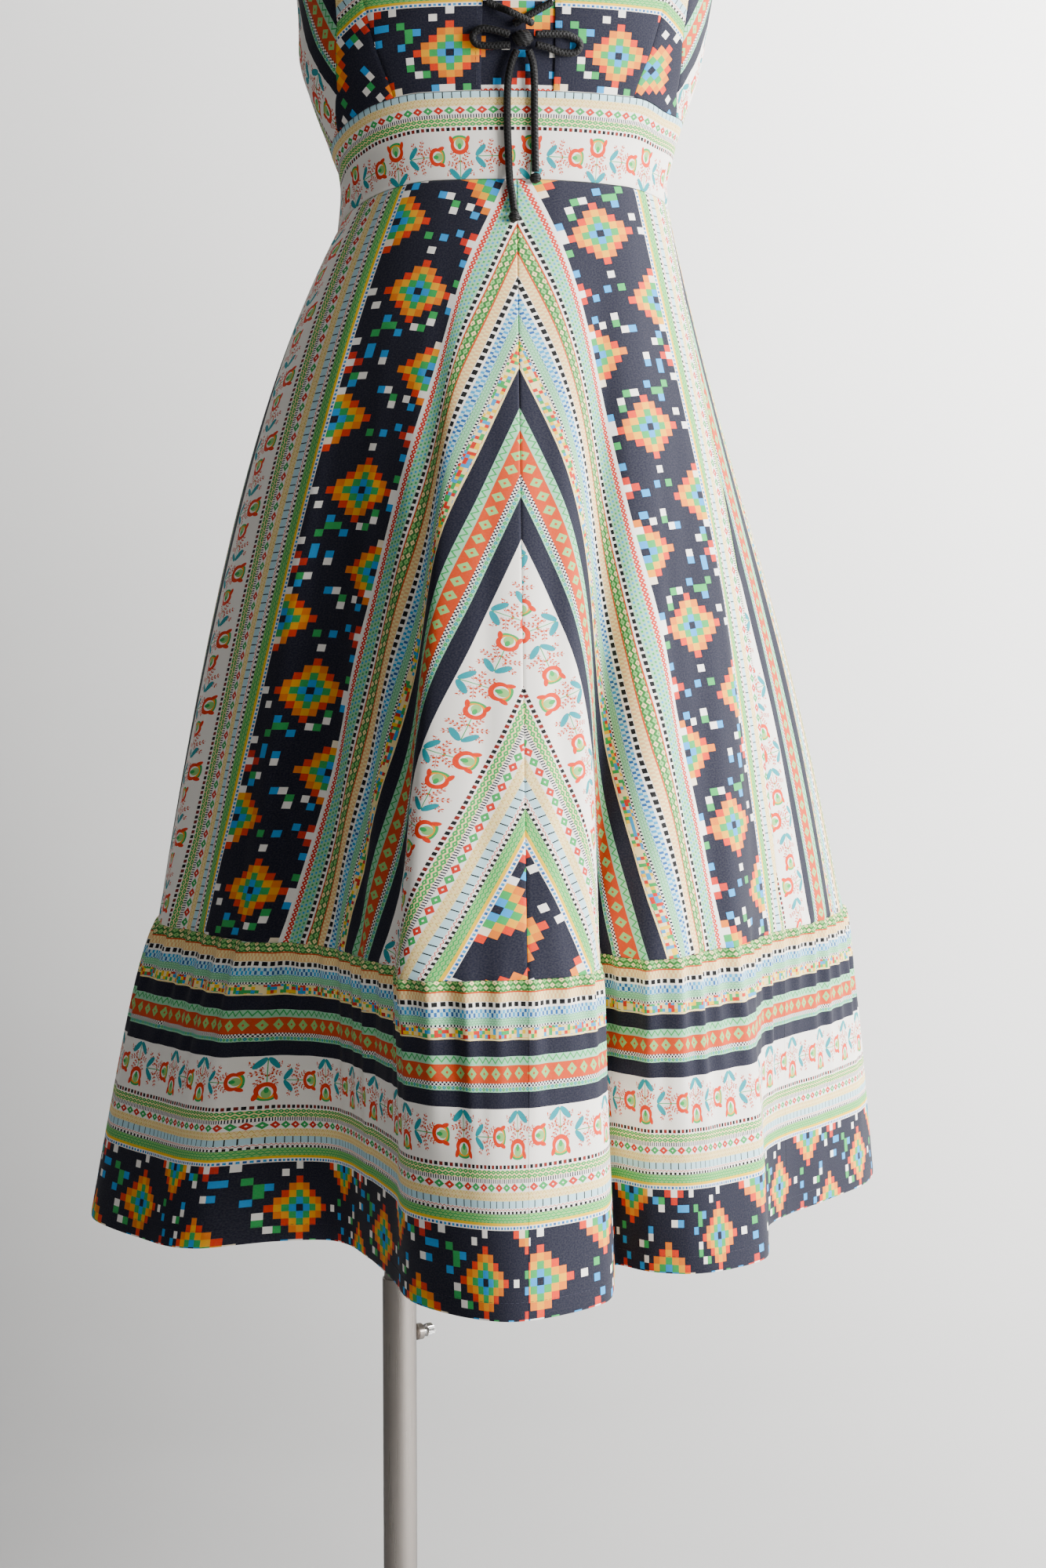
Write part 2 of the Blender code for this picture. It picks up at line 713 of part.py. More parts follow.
def make_midriff():
    """The shaped band between the bodice and the skirt, in three pieces."""
    rows = 2
    spans = (
        ("midriff_front", -1.0, 1.0, 40),
        ("midriff_back_right", 1.0, None, 20),
        ("midriff_back_left", None, -1.0, 20),
    )
    for name, start_sign, end_sign, columns in spans:
        outer = []
        inner = []
        nudge = degrees(HALF_GAP / PANEL_RADIUS)
        for row in range(rows + 1):
            outer_row = []
            inner_row = []
            nominal = mix(MIDRIFF_LOW, MIDRIFF_HIGH, row / rows)
            side = table_value(SIDE_EDGE, "angle", nominal)
            start = start_sign * side if start_sign else -180.0
            end = end_sign * side if end_sign else 180.0
            for column in range(columns + 1):
                angle = mix(start + nudge, end - nudge, column / columns)
                low = seam_height("band_bottom", angle) + BAND_GAP
                high = seam_height("band_top", angle) - BAND_GAP
                level = mix(low, high, row / rows)
                outer_row.append(cloth_point(angle, level))
                inner_row.append(cloth_point(angle, level, WALL))
            outer.append(outer_row)
            inner.append(inner_row)
        wall_object(name, outer, inner, "print")


def gore_spans():
    """Start, end and names of the four skirt pieces and four flounce pieces."""
    marks = [MARK_OF[gore.fold] for gore in GORES]
    marks.append(marks[0] + 1.0)
    names = ("front_right", "back_right", "back_left", "front_left")
    return list(zip(names, marks, marks[1:]))


def skirt_point(share, level, depth=0.0, controls=None):
    controls = controls or skirt_controls(level)
    point = ring_point(controls, share) - ring_normal(controls, share) * depth
    return Vector((point.x, point.y, skirt_height(share, level)))


def make_skirt():
    """Four flared gores from the waist seam to the flounce seam."""
    levels = [row / SKIRT_ROWS for row in range(SKIRT_ROWS + 1)]
    rings = [skirt_controls(level) for level in levels]
    for name, start, end in gore_spans():
        columns = round(SKIRT_COLUMNS * (end - start))
        outer = []
        inner = []
        for level, controls in zip(levels, rings):
            step = 0.0005
            first = ring_point(controls, start + step) - ring_point(controls, start)
            nudge = HALF_GAP * step / first.length
            shares = [mix(start + nudge, end - nudge, c / columns) for c in range(columns + 1)]
            outer.append([skirt_point(share, level, 0.0, controls) for share in shares])
            inner.append([skirt_point(share, level, WALL, controls) for share in shares])
        wall_object("skirt_" + name, outer[::-1], inner[::-1], "print")


def flounce_point(share, level, depth, controls, foot):
    normal = ring_normal(controls, share)
    point = ring_point(controls, share) + normal * (gather_wave(share, level) - depth)
    height = mix(SEAM_HEIGHT - HALF_GAP, foot, level)
    return Vector((point.x, point.y, height))


def make_flounce():
    """Four gathered strips from the flounce seam to the hem."""
    rings = [flounce_controls(level) for level in FLOUNCE_ROWS]
    for name, start, end in gore_spans():
        first = round(start * GATHERS * 2)
        last = round(end * GATHERS * 2)
        stations = [column / (GATHERS * 2) for column in range(first, last + 1)]
        nudge = HALF_GAP / SEAM_LENGTH
        stations[0] += nudge
        stations[-1] -= nudge
        feet = [hem_height(share) for share in stations]
        outer = []
        inner = []
        for level, controls in zip(FLOUNCE_ROWS, rings):
            pairs = list(zip(stations, feet))
            outer.append([flounce_point(s, level, 0.0, controls, foot) for s, foot in pairs])
            inner.append([flounce_point(s, level, WALL, controls, foot) for s, foot in pairs])
        wall_object("flounce_" + name, outer[::-1], inner[::-1], "print")


def outer_y(x, height, back=False):
    """Depth of the cloth's outer face at a place on the centre front or back."""
    middle = 180.0 if back else 0.0
    if height >= seam_height("band_bottom", middle):
        sine = x / (table_value(BODY, "half_width", height) + WALL + 0.006)
        angle = 180.0 - degrees(asin(sine)) if back else degrees(asin(sine))
        return cloth_point(angle, height).y
    top = seam_height("band_bottom", middle)
    level = (top - height) / (top - SEAM_HEIGHT)
    controls = skirt_controls(level)
    centre = MARK_OF["centre_back"] if back else MARK_OF["centre_front"]
    best = None
    for step in range(-40, 41):
        point = ring_point(controls, centre + step * 0.0015)
        miss = abs(point.x - FORM_X - x)
        if best is None or miss < best[0]:
            best = (miss, point.y)
    return best[1]


def front_spot(x, height, lift):
    """A point lifted off the cloth on the front, straight toward the viewer."""
    return Vector((FORM_X + x, outer_y(x, height) - lift, height))


def smooth_route(points, steps):
    """Points of a smooth open curve through a short route."""
    route = []
    ends = [points[0]] + list(points) + [points[-1]]
    for index in range(1, len(ends) - 2):
        before, start, end, after = ends[index - 1:index + 3]
        for step in range(steps):
            share = step / steps
            square = share * share
            cube = square * share
            route.append(
                (
                    start * 2.0
                    + (end - before) * share
                    + (before * 2.0 - start * 5.0 + end * 4.0 - after) * square
                    + (start * 3.0 - before - end * 3.0 + after) * cube
                )
                * 0.5
            )
    route.append(points[-1].copy())
    return route


def cord_object(name, route, radius=LACE_RADIUS, resolution=2):
    """A round cord along a route, closed at both ends."""
    curve = bpy.data.curves.new(name, "CURVE")
    curve.dimensions = "3D"
    curve.bevel_depth = radius
    curve.bevel_resolution = resolution
    curve.use_fill_caps = True
    spline = curve.splines.new("POLY")
    spline.points.add(len(route) - 1)
    for target, point in zip(spline.points, route):
        target.co = (*point, 1.0)
    item = bpy.data.objects.new(name, curve)
    bpy.context.scene.collection.objects.link(item)
    curve.materials.append(make_material(name, "lace"))
    return item


def ellipsoid(name, centre, radii, colour, segments=12, rings=8):
    mesh = bpy.data.meshes.new(name)
    build = bmesh.new()
    scale = Matrix.Diagonal((*radii, 1.0))
    place = Matrix.Translation(centre) @ scale
    bmesh.ops.create_uvsphere(
        build, u_segments=segments, v_segments=rings, radius=1.0, matrix=place
    )
    build.to_mesh(mesh)
    build.free()
    return add_object(name, mesh, colour)


def make_lacing():
    """Crossed rows of lace between the fronts, up to the neckline."""
    rest = LACE_RADIUS - WALL - UNDERLAY_GAP + GAP
    reach = OPENING_HALF - GAP - LAP_GAP
    step_out = LACE_RADIUS + GAP
    count = 7
    for index in range(3):
        low = LACE_BOTTOM + index * LACE_PITCH + step_out
        high = LACE_BOTTOM + (index + 1) * LACE_PITCH - step_out
        if index == 2:
            high -= step_out
        for name, sign in (("under", 1.0), ("over", -1.0)):
            route = []
            for step in range(count):
                share = step / (count - 1)
                x = sign * mix(-reach, reach, share)
                bump = 0.0
                if name == "over":
                    bump = (2 * LACE_RADIUS + 2 * GAP) * smooth(1.45 - abs(share - 0.5) * 3.4)
                route.append(front_spot(x, mix(low, high, share), rest + bump))
            cord_object(f"lace_cross_{index + 1}_{name}", route)
    top = LACE_BOTTOM + 3 * LACE_PITCH - GAP
    bar = [front_spot(mix(-reach, reach, step / 4), top, rest) for step in range(5)]
    cord_object("lace_top_bar", bar)
    low = KNOT_HEIGHT + 0.0095
    for name, sign in (("under", 1.0), ("over", -1.0)):
        route = []
        for step in range(count):
            share = step / (count - 1)
            x = mix(sign * reach, KNOT_X - sign * 0.0062, share)
            bump = 0.0
            if name == "over":
                bump = (2 * LACE_RADIUS + 2 * GAP) * smooth(1.7 - abs(share - 0.72) * 3.4)
            route.append(front_spot(x, mix(LACE_BOTTOM - step_out, low, share), rest + bump))
        cord_object(f"lace_bottom_{name}", route)


def make_bow():
    """The tied bow: its knot, two loops and two hanging ends with knots."""
    lift = LACE_RADIUS + LAP_GAP
    seat = KNOT_SIZE[1] - WALL - UNDERLAY_GAP + GAP
    knot = front_spot(KNOT_X, KNOT_HEIGHT, seat)
    ellipsoid("bow_knot", knot, KNOT_SIZE, "lace", 12, 8)
    left_loop = (
        (KNOT_X - 0.0090, 1.3472, lift + 0.0008),
        (-0.0170, 1.3502, lift + 0.0004),
        (-0.0260, 1.3512, lift + 0.0002),
        (-0.0315, 1.3470, lift + 0.0002),
        (-0.0290, 1.3412, lift + 0.0002),
        (-0.0200, 1.3398, lift + 0.0002),
        (-0.0125, 1.3402, lift + 0.0004),
        (KNOT_X - 0.0086, 1.3404, lift + 0.0004),
    )
    right_loop = (
        (KNOT_X + 0.0090, 1.3477, lift + 0.0008),
        (0.0220, 1.3480, lift + 0.0004),
        (0.0330, 1.3480, lift + 0.0002),
        (0.0420, 1.3435, lift + 0.0002),
        (0.0400, 1.3370, lift + 0.0002),
        (0.0300, 1.3362, lift + 0.0002),
        (0.0200, 1.3392, lift + 0.0004),
        (KNOT_X + 0.0092, 1.3410, lift + 0.0004),
    )
    long_tail = (
        (-0.0014, 1.3374, lift + 0.0006),
        (-0.0048, 1.3290, lift + 0.0004),
        (-0.0072, 1.3150, lift + 0.0003),
        (-0.0072, 1.2900, lift + 0.0004),
        (-0.0062, 1.2700, lift + 0.0004),
        (-0.0052, 1.2500, lift + 0.0006),
        (-0.0040, 1.2400, lift + 0.0006),
        (-0.0032, LONG_TAIL_END, lift + 0.0006),
    )
    short_tail = (
        (0.0066, 1.3374, lift + 0.0006),
        (0.0098, 1.3290, lift + 0.0004),
        (0.0112, 1.3150, lift + 0.0003),
        (0.0116, 1.2950, lift + 0.0004),
        (0.0122, 1.2750, lift + 0.0004),
        (0.0128, SHORT_TAIL_END, lift + 0.0006),
    )
    routes = (
        ("bow_loop_left", left_loop),
        ("bow_loop_right", right_loop),
        ("lace_tail_long", long_tail),
        ("lace_tail_short", short_tail),
    )
    for name, spots in routes:
        points = [front_spot(*spot) for spot in spots]
        cord_object(name, smooth_route(points, 2))
    drop = 0.0042
    for name, spots in (("long", long_tail), ("short", short_tail)):
        x, height, _ = spots[-1]
        centre = front_spot(x, height - drop, END_KNOT_SIZE[1] + LAP_GAP)
        ellipsoid(f"lace_knot_{name}", centre, END_KNOT_SIZE, "lace", 10, 6)


def make_zip():
    """Centre back zip: its tape inside, its slider and its pull tab outside."""
    rows = 20
    outer = []
    inner = []
    for row in range(rows + 1):
        height = mix(ZIP_BOTTOM, ZIP_TOP, row / rows)
        outer_row = []
        inner_row = []
        for column in range(3):
            x = mix(ZIP_HALF, -ZIP_HALF, column / 2)
            y = outer_y(x, height, back=True) - ZIP_DEPTH
            outer_row.append(Vector((FORM_X + x, y, height)))
            inner_row.append(Vector((FORM_X + x, y - ZIP_THICK, height)))
        outer.append(outer_row)
        inner.append(inner_row)
    wall_object("zip_tape", outer, inner, "zip")
    high = ZIP_TOP - ZIP_STOP
    low = high - PULL_LENGTH
    slope = atan2(outer_y(0.0, low, True) - outer_y(0.0, high, True), PULL_LENGTH)
    face = outer_y(0.0, high - SLIDER_LENGTH / 2, True)
    lean = Matrix.Rotation(slope, 4, "X")
    off = face + LAP_GAP + HALF_GAP + SLIDER_THICK / 2
    mid = Vector((FORM_X, off, high - SLIDER_LENGTH / 2))
    slider = rounded_block("zip_slider", (SLIDER_WIDTH, SLIDER_THICK, SLIDER_LENGTH), 0.0008, "zip")
    slider.matrix_world = Matrix.Translation(mid) @ lean
    out = lean @ Vector((0.0, SLIDER_THICK / 2 + PULL_GAP + PULL_THICK / 2, 0.0))
    axis_point = mid + out
    pull = rounded_block(
        "zip_pull", (PULL_WIDTH, PULL_THICK, PULL_LENGTH), 0.0005, "zip",
        shift=(0.0, 0.0, PULL_EYE - PULL_LENGTH / 2),
    )
    pull.matrix_world = Matrix.Translation(axis_point) @ lean


def rounded_block(name, size, edge, colour, shift=(0.0, 0.0, 0.0)):
    build = bmesh.new()
    place = Matrix.Translation(shift) @ Matrix.Diagonal((*size, 1.0))
    bmesh.ops.create_cube(build, size=1.0, matrix=place)
    bmesh.ops.bevel(
        build, geom=build.edges[:], offset=edge, segments=2, affect="EDGES", profile=0.5
    )
    return finish_mesh(name, build, colour)


def make_form():
    """The limbless torso with its neck, and the bore for the pole."""
    build = bmesh.new()
    heights = [row.height for row in BODY if row.height <= SHOULDER_LOW][::2]
    heights += sorted({row for row in FRONT_ROWS + BACK_ROWS if SHOULDER_LOW < row < FORM_TOP})
    rings = []
    for height in heights:
        ring = []
        for column in range(FORM_COLUMNS):
            angle = 360.0 * column / FORM_COLUMNS
            ring.append(build.verts.new(body_point(angle, height)))
        rings.append(ring)
    for low, high in zip(rings, rings[1:]):
        for column in range(FORM_COLUMNS):
            after = (column + 1) % FORM_COLUMNS
            build.faces.new((low[column], low[after], high[after], high[column]))
    build.faces.new(reversed(rings[0]))
    top = rings[-1]
    half = FORM_COLUMNS // 2
    quarter = FORM_COLUMNS // 4
    for step in range(half):
        first = (quarter - step) % FORM_COLUMNS
        second = (quarter - step - 1) % FORM_COLUMNS
        third = (quarter + step + 1) % FORM_COLUMNS
        fourth = (quarter + step) % FORM_COLUMNS
        corners = []
        for corner in (first, second, third, fourth):
            if top[corner] not in corners:
                corners.append(top[corner])
        if len(corners) > 2:
            build.faces.new(corners)
    form = finish_mesh("torso_form", build, "form")
    neck = turned(
        "neck_shape",
        (
            (0.070, 1.560),
            (0.066, 1.610),
            (NECK_WIDE + 0.002, 1.640),
            (NECK_WIDE, 1.665),
            (NECK_WIDE - 0.001, NECK_TOP - 0.006),
            (NECK_WIDE - 0.006, NECK_TOP),
        ),
        "form",
        28,
    )
    neck.data.transform(Matrix.Translation((FORM_X, FORM_Y + NECK_BACK, 0.0)))
    neck.hide_render = True
    neck.display_type = "WIRE"
    join = form.modifiers.new("neck", "BOOLEAN")
    join.object = neck
    join.operation = "UNION"
    join.solver = "EXACT"
    bore = turned(
        "form_bore",
        ((INNER_TUBE_RADIUS + GAP, 0.90), (INNER_TUBE_RADIUS + GAP, INNER_TUBE_TOP + GAP)),
        "steel",
    )
    cut(form, bore)
    cap = turned(
        "neck_cap",
        (
            (0.044, NECK_TOP + GAP),
            (0.047, NECK_TOP + 0.003),
            (0.046, NECK_TOP + 0.010),
            (0.036, NECK_TOP + 0.014),
            (0.012, NECK_TOP + 0.016),
        ),
        "plate",
        28,
    )
    cap.data.transform(Matrix.Translation((FORM_X, FORM_Y + NECK_BACK, 0.0)))
    turned(
        "pole_socket",
        (
            (INNER_TUBE_RADIUS + GAP, FORM_BOTTOM - SOCKET_THICK),
            (SOCKET_RADIUS, FORM_BOTTOM - SOCKET_THICK),
            (SOCKET_RADIUS, FORM_BOTTOM - GAP),
            (INNER_TUBE_RADIUS + GAP, FORM_BOTTOM - GAP),
        ),
        "steel",
        closed=True,
    )


def tube(name, outer, inner, low, high, colour, sides=24):
    profile = ((inner, low), (outer, low), (outer, high), (inner, high))
    return turned(name, profile, colour, sides, closed=True)


def make_stand():
    """Base plate, hub, outer tube, welded nut, clamp screw and inner tube."""
    turned(
        "base_plate",
        (
            (BASE_RADIUS - BASE_EDGE * 0.5, 0.0),
            (BASE_RADIUS, BASE_EDGE),
            (BASE_RADIUS, BASE_THICK - BASE_EDGE),
            (BASE_RADIUS - BASE_EDGE, BASE_THICK),
        ),
        "plate",
        48,
    )
    clear = OUTER_TUBE_RADIUS + GAP
    foot = BASE_THICK + GAP
    turned(
        "base_hub",
        (
            (clear, foot),
            (HUB_RADIUS, foot),
            (HUB_RADIUS, foot + HUB_HEIGHT * 0.4),
            (OUTER_TUBE_RADIUS + 0.004, foot + HUB_HEIGHT),
            (clear, foot + HUB_HEIGHT),
        ),
        "steel",
        closed=True,
    )
    outer = tube(
        "outer_tube", OUTER_TUBE_RADIUS, OUTER_TUBE_BORE, foot, OUTER_TUBE_TOP, "steel"
    )
    tube(
        "inner_tube",
        INNER_TUBE_RADIUS,
        INNER_TUBE_RADIUS - INNER_TUBE_WALL,
        INNER_TUBE_BOTTOM,
        INNER_TUBE_TOP,
        "steel",
    )
    direction = Vector((cos(CLAMP_TURN), sin(CLAMP_TURN), 0.0))
    centre = Vector((0.0, 0.0, CLAMP_HEIGHT))
    hole = turned("clamp_hole", ((SCREW_RADIUS + GAP, 0.0), (SCREW_RADIUS + GAP, 0.03)), "steel", 16)
    lay_along(hole, centre, direction)
    cut(outer, hole)
    seat = OUTER_TUBE_RADIUS + GAP
    bore = SCREW_RADIUS + GAP
    nut = turned(
        "clamp_nut",
        (
            (bore, seat),
            (NUT_RADIUS, seat + 0.0018),
            (NUT_RADIUS, seat + NUT_LENGTH),
            (bore, seat + NUT_LENGTH),
        ),
        "steel",
        16,
        closed=True,
    )
    lay_along(nut, centre, direction)
    head = OUTER_TUBE_RADIUS + SCREW_REACH - SCREW_HEAD_LENGTH
    screw = turned(
        "clamp_screw",
        (
            (SCREW_RADIUS, INNER_TUBE_RADIUS + GAP),
            (SCREW_RADIUS, head),
            (SCREW_HEAD_RADIUS, head + 0.0006),
            (SCREW_HEAD_RADIUS, head + SCREW_HEAD_LENGTH - 0.0008),
            (SCREW_HEAD_RADIUS - 0.0008, head + SCREW_HEAD_LENGTH),
        ),
        "chrome",
        16,
    )
    lay_along(screw, centre, direction)


def clear_scene():
    for item in list(bpy.data.objects):
        bpy.data.objects.remove(item, do_unlink=True)


def main():
    clear_scene()
    make_stand()
    make_form()
    make_bodice()
    make_underlay()
    make_midriff()
    make_skirt()
    make_flounce()
    make_lacing()
    make_bow()
    make_zip()


main()
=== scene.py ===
"""Looks of a day dress on a limbless dress form.

Metres, +Z up, the front of the dress faces -Y, left and right as the viewer
sees them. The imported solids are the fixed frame. Each cloth piece is a finer
wall on the same formulas as its solid, with its creases, its gathers and a
print that follows the cut of the cloth.
"""

from bisect import bisect_right
from collections import namedtuple
from math import asin, atan2, ceil, cos, degrees, exp, pi, radians, sin, sqrt

import bmesh
import bpy
from bpy.props import FloatProperty, FloatVectorProperty, PointerProperty
from mathutils import Matrix, Vector


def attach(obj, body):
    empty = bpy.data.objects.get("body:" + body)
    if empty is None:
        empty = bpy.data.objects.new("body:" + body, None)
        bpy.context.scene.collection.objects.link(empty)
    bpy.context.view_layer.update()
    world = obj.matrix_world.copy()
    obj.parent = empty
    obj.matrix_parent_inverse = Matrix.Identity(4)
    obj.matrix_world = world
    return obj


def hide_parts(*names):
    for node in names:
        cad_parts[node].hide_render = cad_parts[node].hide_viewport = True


bl_info = {
    "name": "Day dress on a dress form",
    "version": (1, 0, 0),
    "blender": (4, 5, 0),
    "location": "3D View > Sidebar > Dress",
    "description": "Sews a printed, laced day dress and sets it on its form and stand",
    "category": "Add Mesh",
}

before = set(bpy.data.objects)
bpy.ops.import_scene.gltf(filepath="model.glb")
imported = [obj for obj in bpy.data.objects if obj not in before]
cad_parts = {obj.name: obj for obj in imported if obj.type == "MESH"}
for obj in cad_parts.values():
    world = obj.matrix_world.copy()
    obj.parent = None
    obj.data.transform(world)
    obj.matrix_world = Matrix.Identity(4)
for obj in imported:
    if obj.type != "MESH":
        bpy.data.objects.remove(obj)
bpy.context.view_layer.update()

FIGURE = "figure"
STAND = "stand"
MAST = "mast"
CLAMP = "clamp"
ZIP_TAB = "zip_tab"

# Stand
BASE_RADIUS = 0.175
BASE_THICK = 0.008
HUB_RADIUS = 0.024
HUB_HEIGHT = 0.022
OUTER_TUBE_RADIUS = 0.0127
OUTER_TUBE_BORE = 0.0117
OUTER_TUBE_TOP = 0.450
INNER_TUBE_RADIUS = 0.0114
INNER_TUBE_WALL = 0.0015
INNER_TUBE_BOTTOM = 0.120
INNER_TUBE_TOP = 1.030
CLAMP_HEIGHT = 0.406
CLAMP_TURN = radians(30.0)
NUT_RADIUS = 0.0062
NUT_LENGTH = 0.006
SCREW_RADIUS = 0.0028
SCREW_HEAD_RADIUS = 0.0050
SCREW_HEAD_LENGTH = 0.0065
SCREW_REACH = 0.0165
SCREW_RIDGES = 20

# Form
FORM_X = 0.079
FORM_Y = -0.007
FORM_BOTTOM = 0.930
FORM_TOP = 1.640
SHOULDER_SLOPE = 0.34
SHOULDER_START = 0.060
SHOULDER_LOW = 1.44
SHOULDER_HIGH = 1.60
TURN_UP_START = 1.46
TURN_UP_LENGTH = 0.10
NECK_WIDE = 0.056
NECK_BACK = 0.004
NECK_TOP = 1.712
SOCKET_RADIUS = 0.030
SOCKET_THICK = 0.004

FORM_COLUMNS = 96
FORM_SPACING = 0.008
FORM_RINGS = 84

# Cloth
WALL = 0.0016
CLOTH = 0.0011
GAP = 0.0003
HALF_GAP = GAP / 2
PANEL_RADIUS = 0.12
BAND_GAP = 0.00025
LAP_GAP = 0.0004
SEAM_HEIGHT = 0.730
GATHERS = 84
GATHER_FADE = 0.22
GATHER_MEAN = 0.72
GATHER_SLOW = 5.0
GATHER_QUICK = 11.0
GATHER_FULLNESS = 1.3
FLOUNCE_SPREAD = 0.75
FLOUNCE_DEPTH = 0.2165
FOLD_GROWTH = 1.6
OPENING_HALF = 0.0235
UNDERLAY_HALF = 0.036
UNDERLAY_GAP = 0.0005
UNDERLAY_TOP = 1.450
ROLL_WIDTH = 0.0030
ROLL_DEPTH = 0.0006

# Lace
LACE_PITCH = 0.030
LACE_BOTTOM = 1.3725
KNOT_HEIGHT = 1.345
KNOT_X = 0.0025
KNOT_SIZE = (0.0075, 0.0052, 0.0060)
END_KNOT_SIZE = (0.0042, 0.0036, 0.0039)
KNOT_TOP = 0.0095
KNOT_SIDE = 0.0062
KNOT_DROP = 0.0042
LACE_RADIUS = 0.0026
LACE_SIDES = 16
LACE_STEPS = 33
BOW_STEPS = 10

# Routes of the bow: across from the centre front, height and lift off the cloth
BOW_ROUTES = {
    "bow_loop_left": (
        (KNOT_X - 0.0090, 1.3472, 0.0008), (-0.0170, 1.3502, 0.0004), (-0.0260, 1.3512, 0.0002),
        (-0.0315, 1.3470, 0.0002), (-0.0290, 1.3412, 0.0002), (-0.0200, 1.3398, 0.0002),
        (-0.0125, 1.3402, 0.0004), (KNOT_X - 0.0086, 1.3404, 0.0004),
    ),
    "bow_loop_right": (
        (KNOT_X + 0.0090, 1.3477, 0.0008), (0.0220, 1.3480, 0.0004), (0.0330, 1.3480, 0.0002),
        (0.0420, 1.3435, 0.0002), (0.0400, 1.3370, 0.0002), (0.0300, 1.3362, 0.0002),
        (0.0200, 1.3392, 0.0004), (KNOT_X + 0.0092, 1.3410, 0.0004),
    ),
    "lace_tail_long": (
        (-0.0014, 1.3374, 0.0006), (-0.0048, 1.3290, 0.0004), (-0.0072, 1.3150, 0.0003),
        (-0.0072, 1.2900, 0.0004), (-0.0062, 1.2700, 0.0004), (-0.0052, 1.2500, 0.0006),
        (-0.0040, 1.2400, 0.0006), (-0.0032, 1.2285, 0.0006),
    ),
    "lace_tail_short": (
        (0.0066, 1.3374, 0.0006), (0.0098, 1.3290, 0.0004), (0.0112, 1.3150, 0.0003),
        (0.0116, 1.2950, 0.0004), (0.0122, 1.2750, 0.0004), (0.0128, 1.2560, 0.0006),
    ),
}

# Zip
ZIP_TOP = 1.556
ZIP_BOTTOM = 1.140
ZIP_HALF = 0.011
ZIP_THICK = 0.0010
ZIP_DEPTH = 0.0034
ZIP_STOP = 0.001
ZIP_ROWS = 104
ZIP_TEETH = 240
SLIDER_LENGTH = 0.009
SLIDER_WIDTH = 0.0055
SLIDER_THICK = 0.0026
PULL_LENGTH = 0.021
PULL_WIDTH = 0.0045
PULL_THICK = 0.0012
PULL_EYE = 0.0008
PULL_GAP = 0.0006


def table(kind, *rows):
    """Rows of a table with named columns."""
    return tuple(kind(*row) for row in rows)


Section = namedtuple("Section", "height half_width front back")
BODY = table(
    Section,
    (0.930, 0.138, 0.088, 0.098), (0.940, 0.147, 0.096, 0.106), (0.970, 0.153, 0.101, 0.113),
    (1.000, 0.155, 0.102, 0.116), (1.050, 0.150, 0.102, 0.112), (1.100, 0.140, 0.100, 0.103),
    (1.140, 0.130, 0.098, 0.094), (1.180, 0.120, 0.095, 0.086), (1.210, 0.114, 0.093, 0.082),
    (1.250, 0.112, 0.093, 0.080), (1.280, 0.1155, 0.096, 0.084), (1.311, 0.122, 0.100, 0.089),
    (1.345, 0.129, 0.106, 0.094), (1.380, 0.135, 0.113, 0.098), (1.420, 0.143, 0.124, 0.101),
    (1.460, 0.149, 0.129, 0.102), (1.500, 0.152, 0.117, 0.100), (1.550, 0.155, 0.088, 0.090),
    (1.590, 0.157, 0.060, 0.067), (1.615, 0.1565, 0.040, 0.045), (1.630, 0.1545, 0.024, 0.027),
    (1.638, 0.1515, 0.010, 0.011), (1.640, 0.1490, 0.0, 0.0),
)

Ease = namedtuple("Ease", "height left right front back")
EASE = table(
    Ease,
    (1.210, 0.0070, 0.0040, 0.0055, 0.0060), (1.250, 0.0054, 0.0044, 0.0050, 0.0060),
    (1.280, 0.0100, 0.0060, 0.0055, 0.0060), (1.311, 0.0154, 0.0094, 0.0064, 0.0070),
    (1.340, 0.0182, 0.0124, 0.0080, 0.0080), (1.365, 0.0146, 0.0124, 0.0084, 0.0080),
    (1.395, 0.0110, 0.0114, 0.0075, 0.0070), (1.460, 0.0050, 0.0050, 0.0035, 0.0050),
    (1.520, 0.0034, 0.0034, 0.0032, 0.0045), (1.570, 0.0026, 0.0026, 0.0026, 0.0040),
    (1.600, 0.0022, 0.0022, 0.0022, 0.0024), (1.630, 0.0014, 0.0014, 0.0014, 0.0014),
    (1.640, 0.0005, 0.0005, 0.0005, 0.0005),
)

# Heights of the seams round the dress, by angle from the centre front
SeamLine = namedtuple("SeamLine", "angle band_top band_bottom hem")
SEAMS = table(
    SeamLine,
    (-180.0, 1.2850, 1.2250, 0.5200), (-95.0, 1.2766, 1.2168, 0.5190), (-75.0, 1.2860, 1.2310, 0.5180),
    (-60.0, 1.2960, 1.2400, 0.5170), (-48.0, 1.3040, 1.2460, 0.5167), (-30.0, 1.3100, 1.2510, 0.5160),
    (0.0, 1.3110, 1.2515, 0.5140), (42.0, 1.3095, 1.2490, 0.5145), (60.0, 1.3020, 1.2450, 0.5180),
    (85.0, 1.2990, 1.2390, 0.5200), (120.0, 1.2900, 1.2300, 0.5210), (180.0, 1.2850, 1.2250, 0.5200),
)

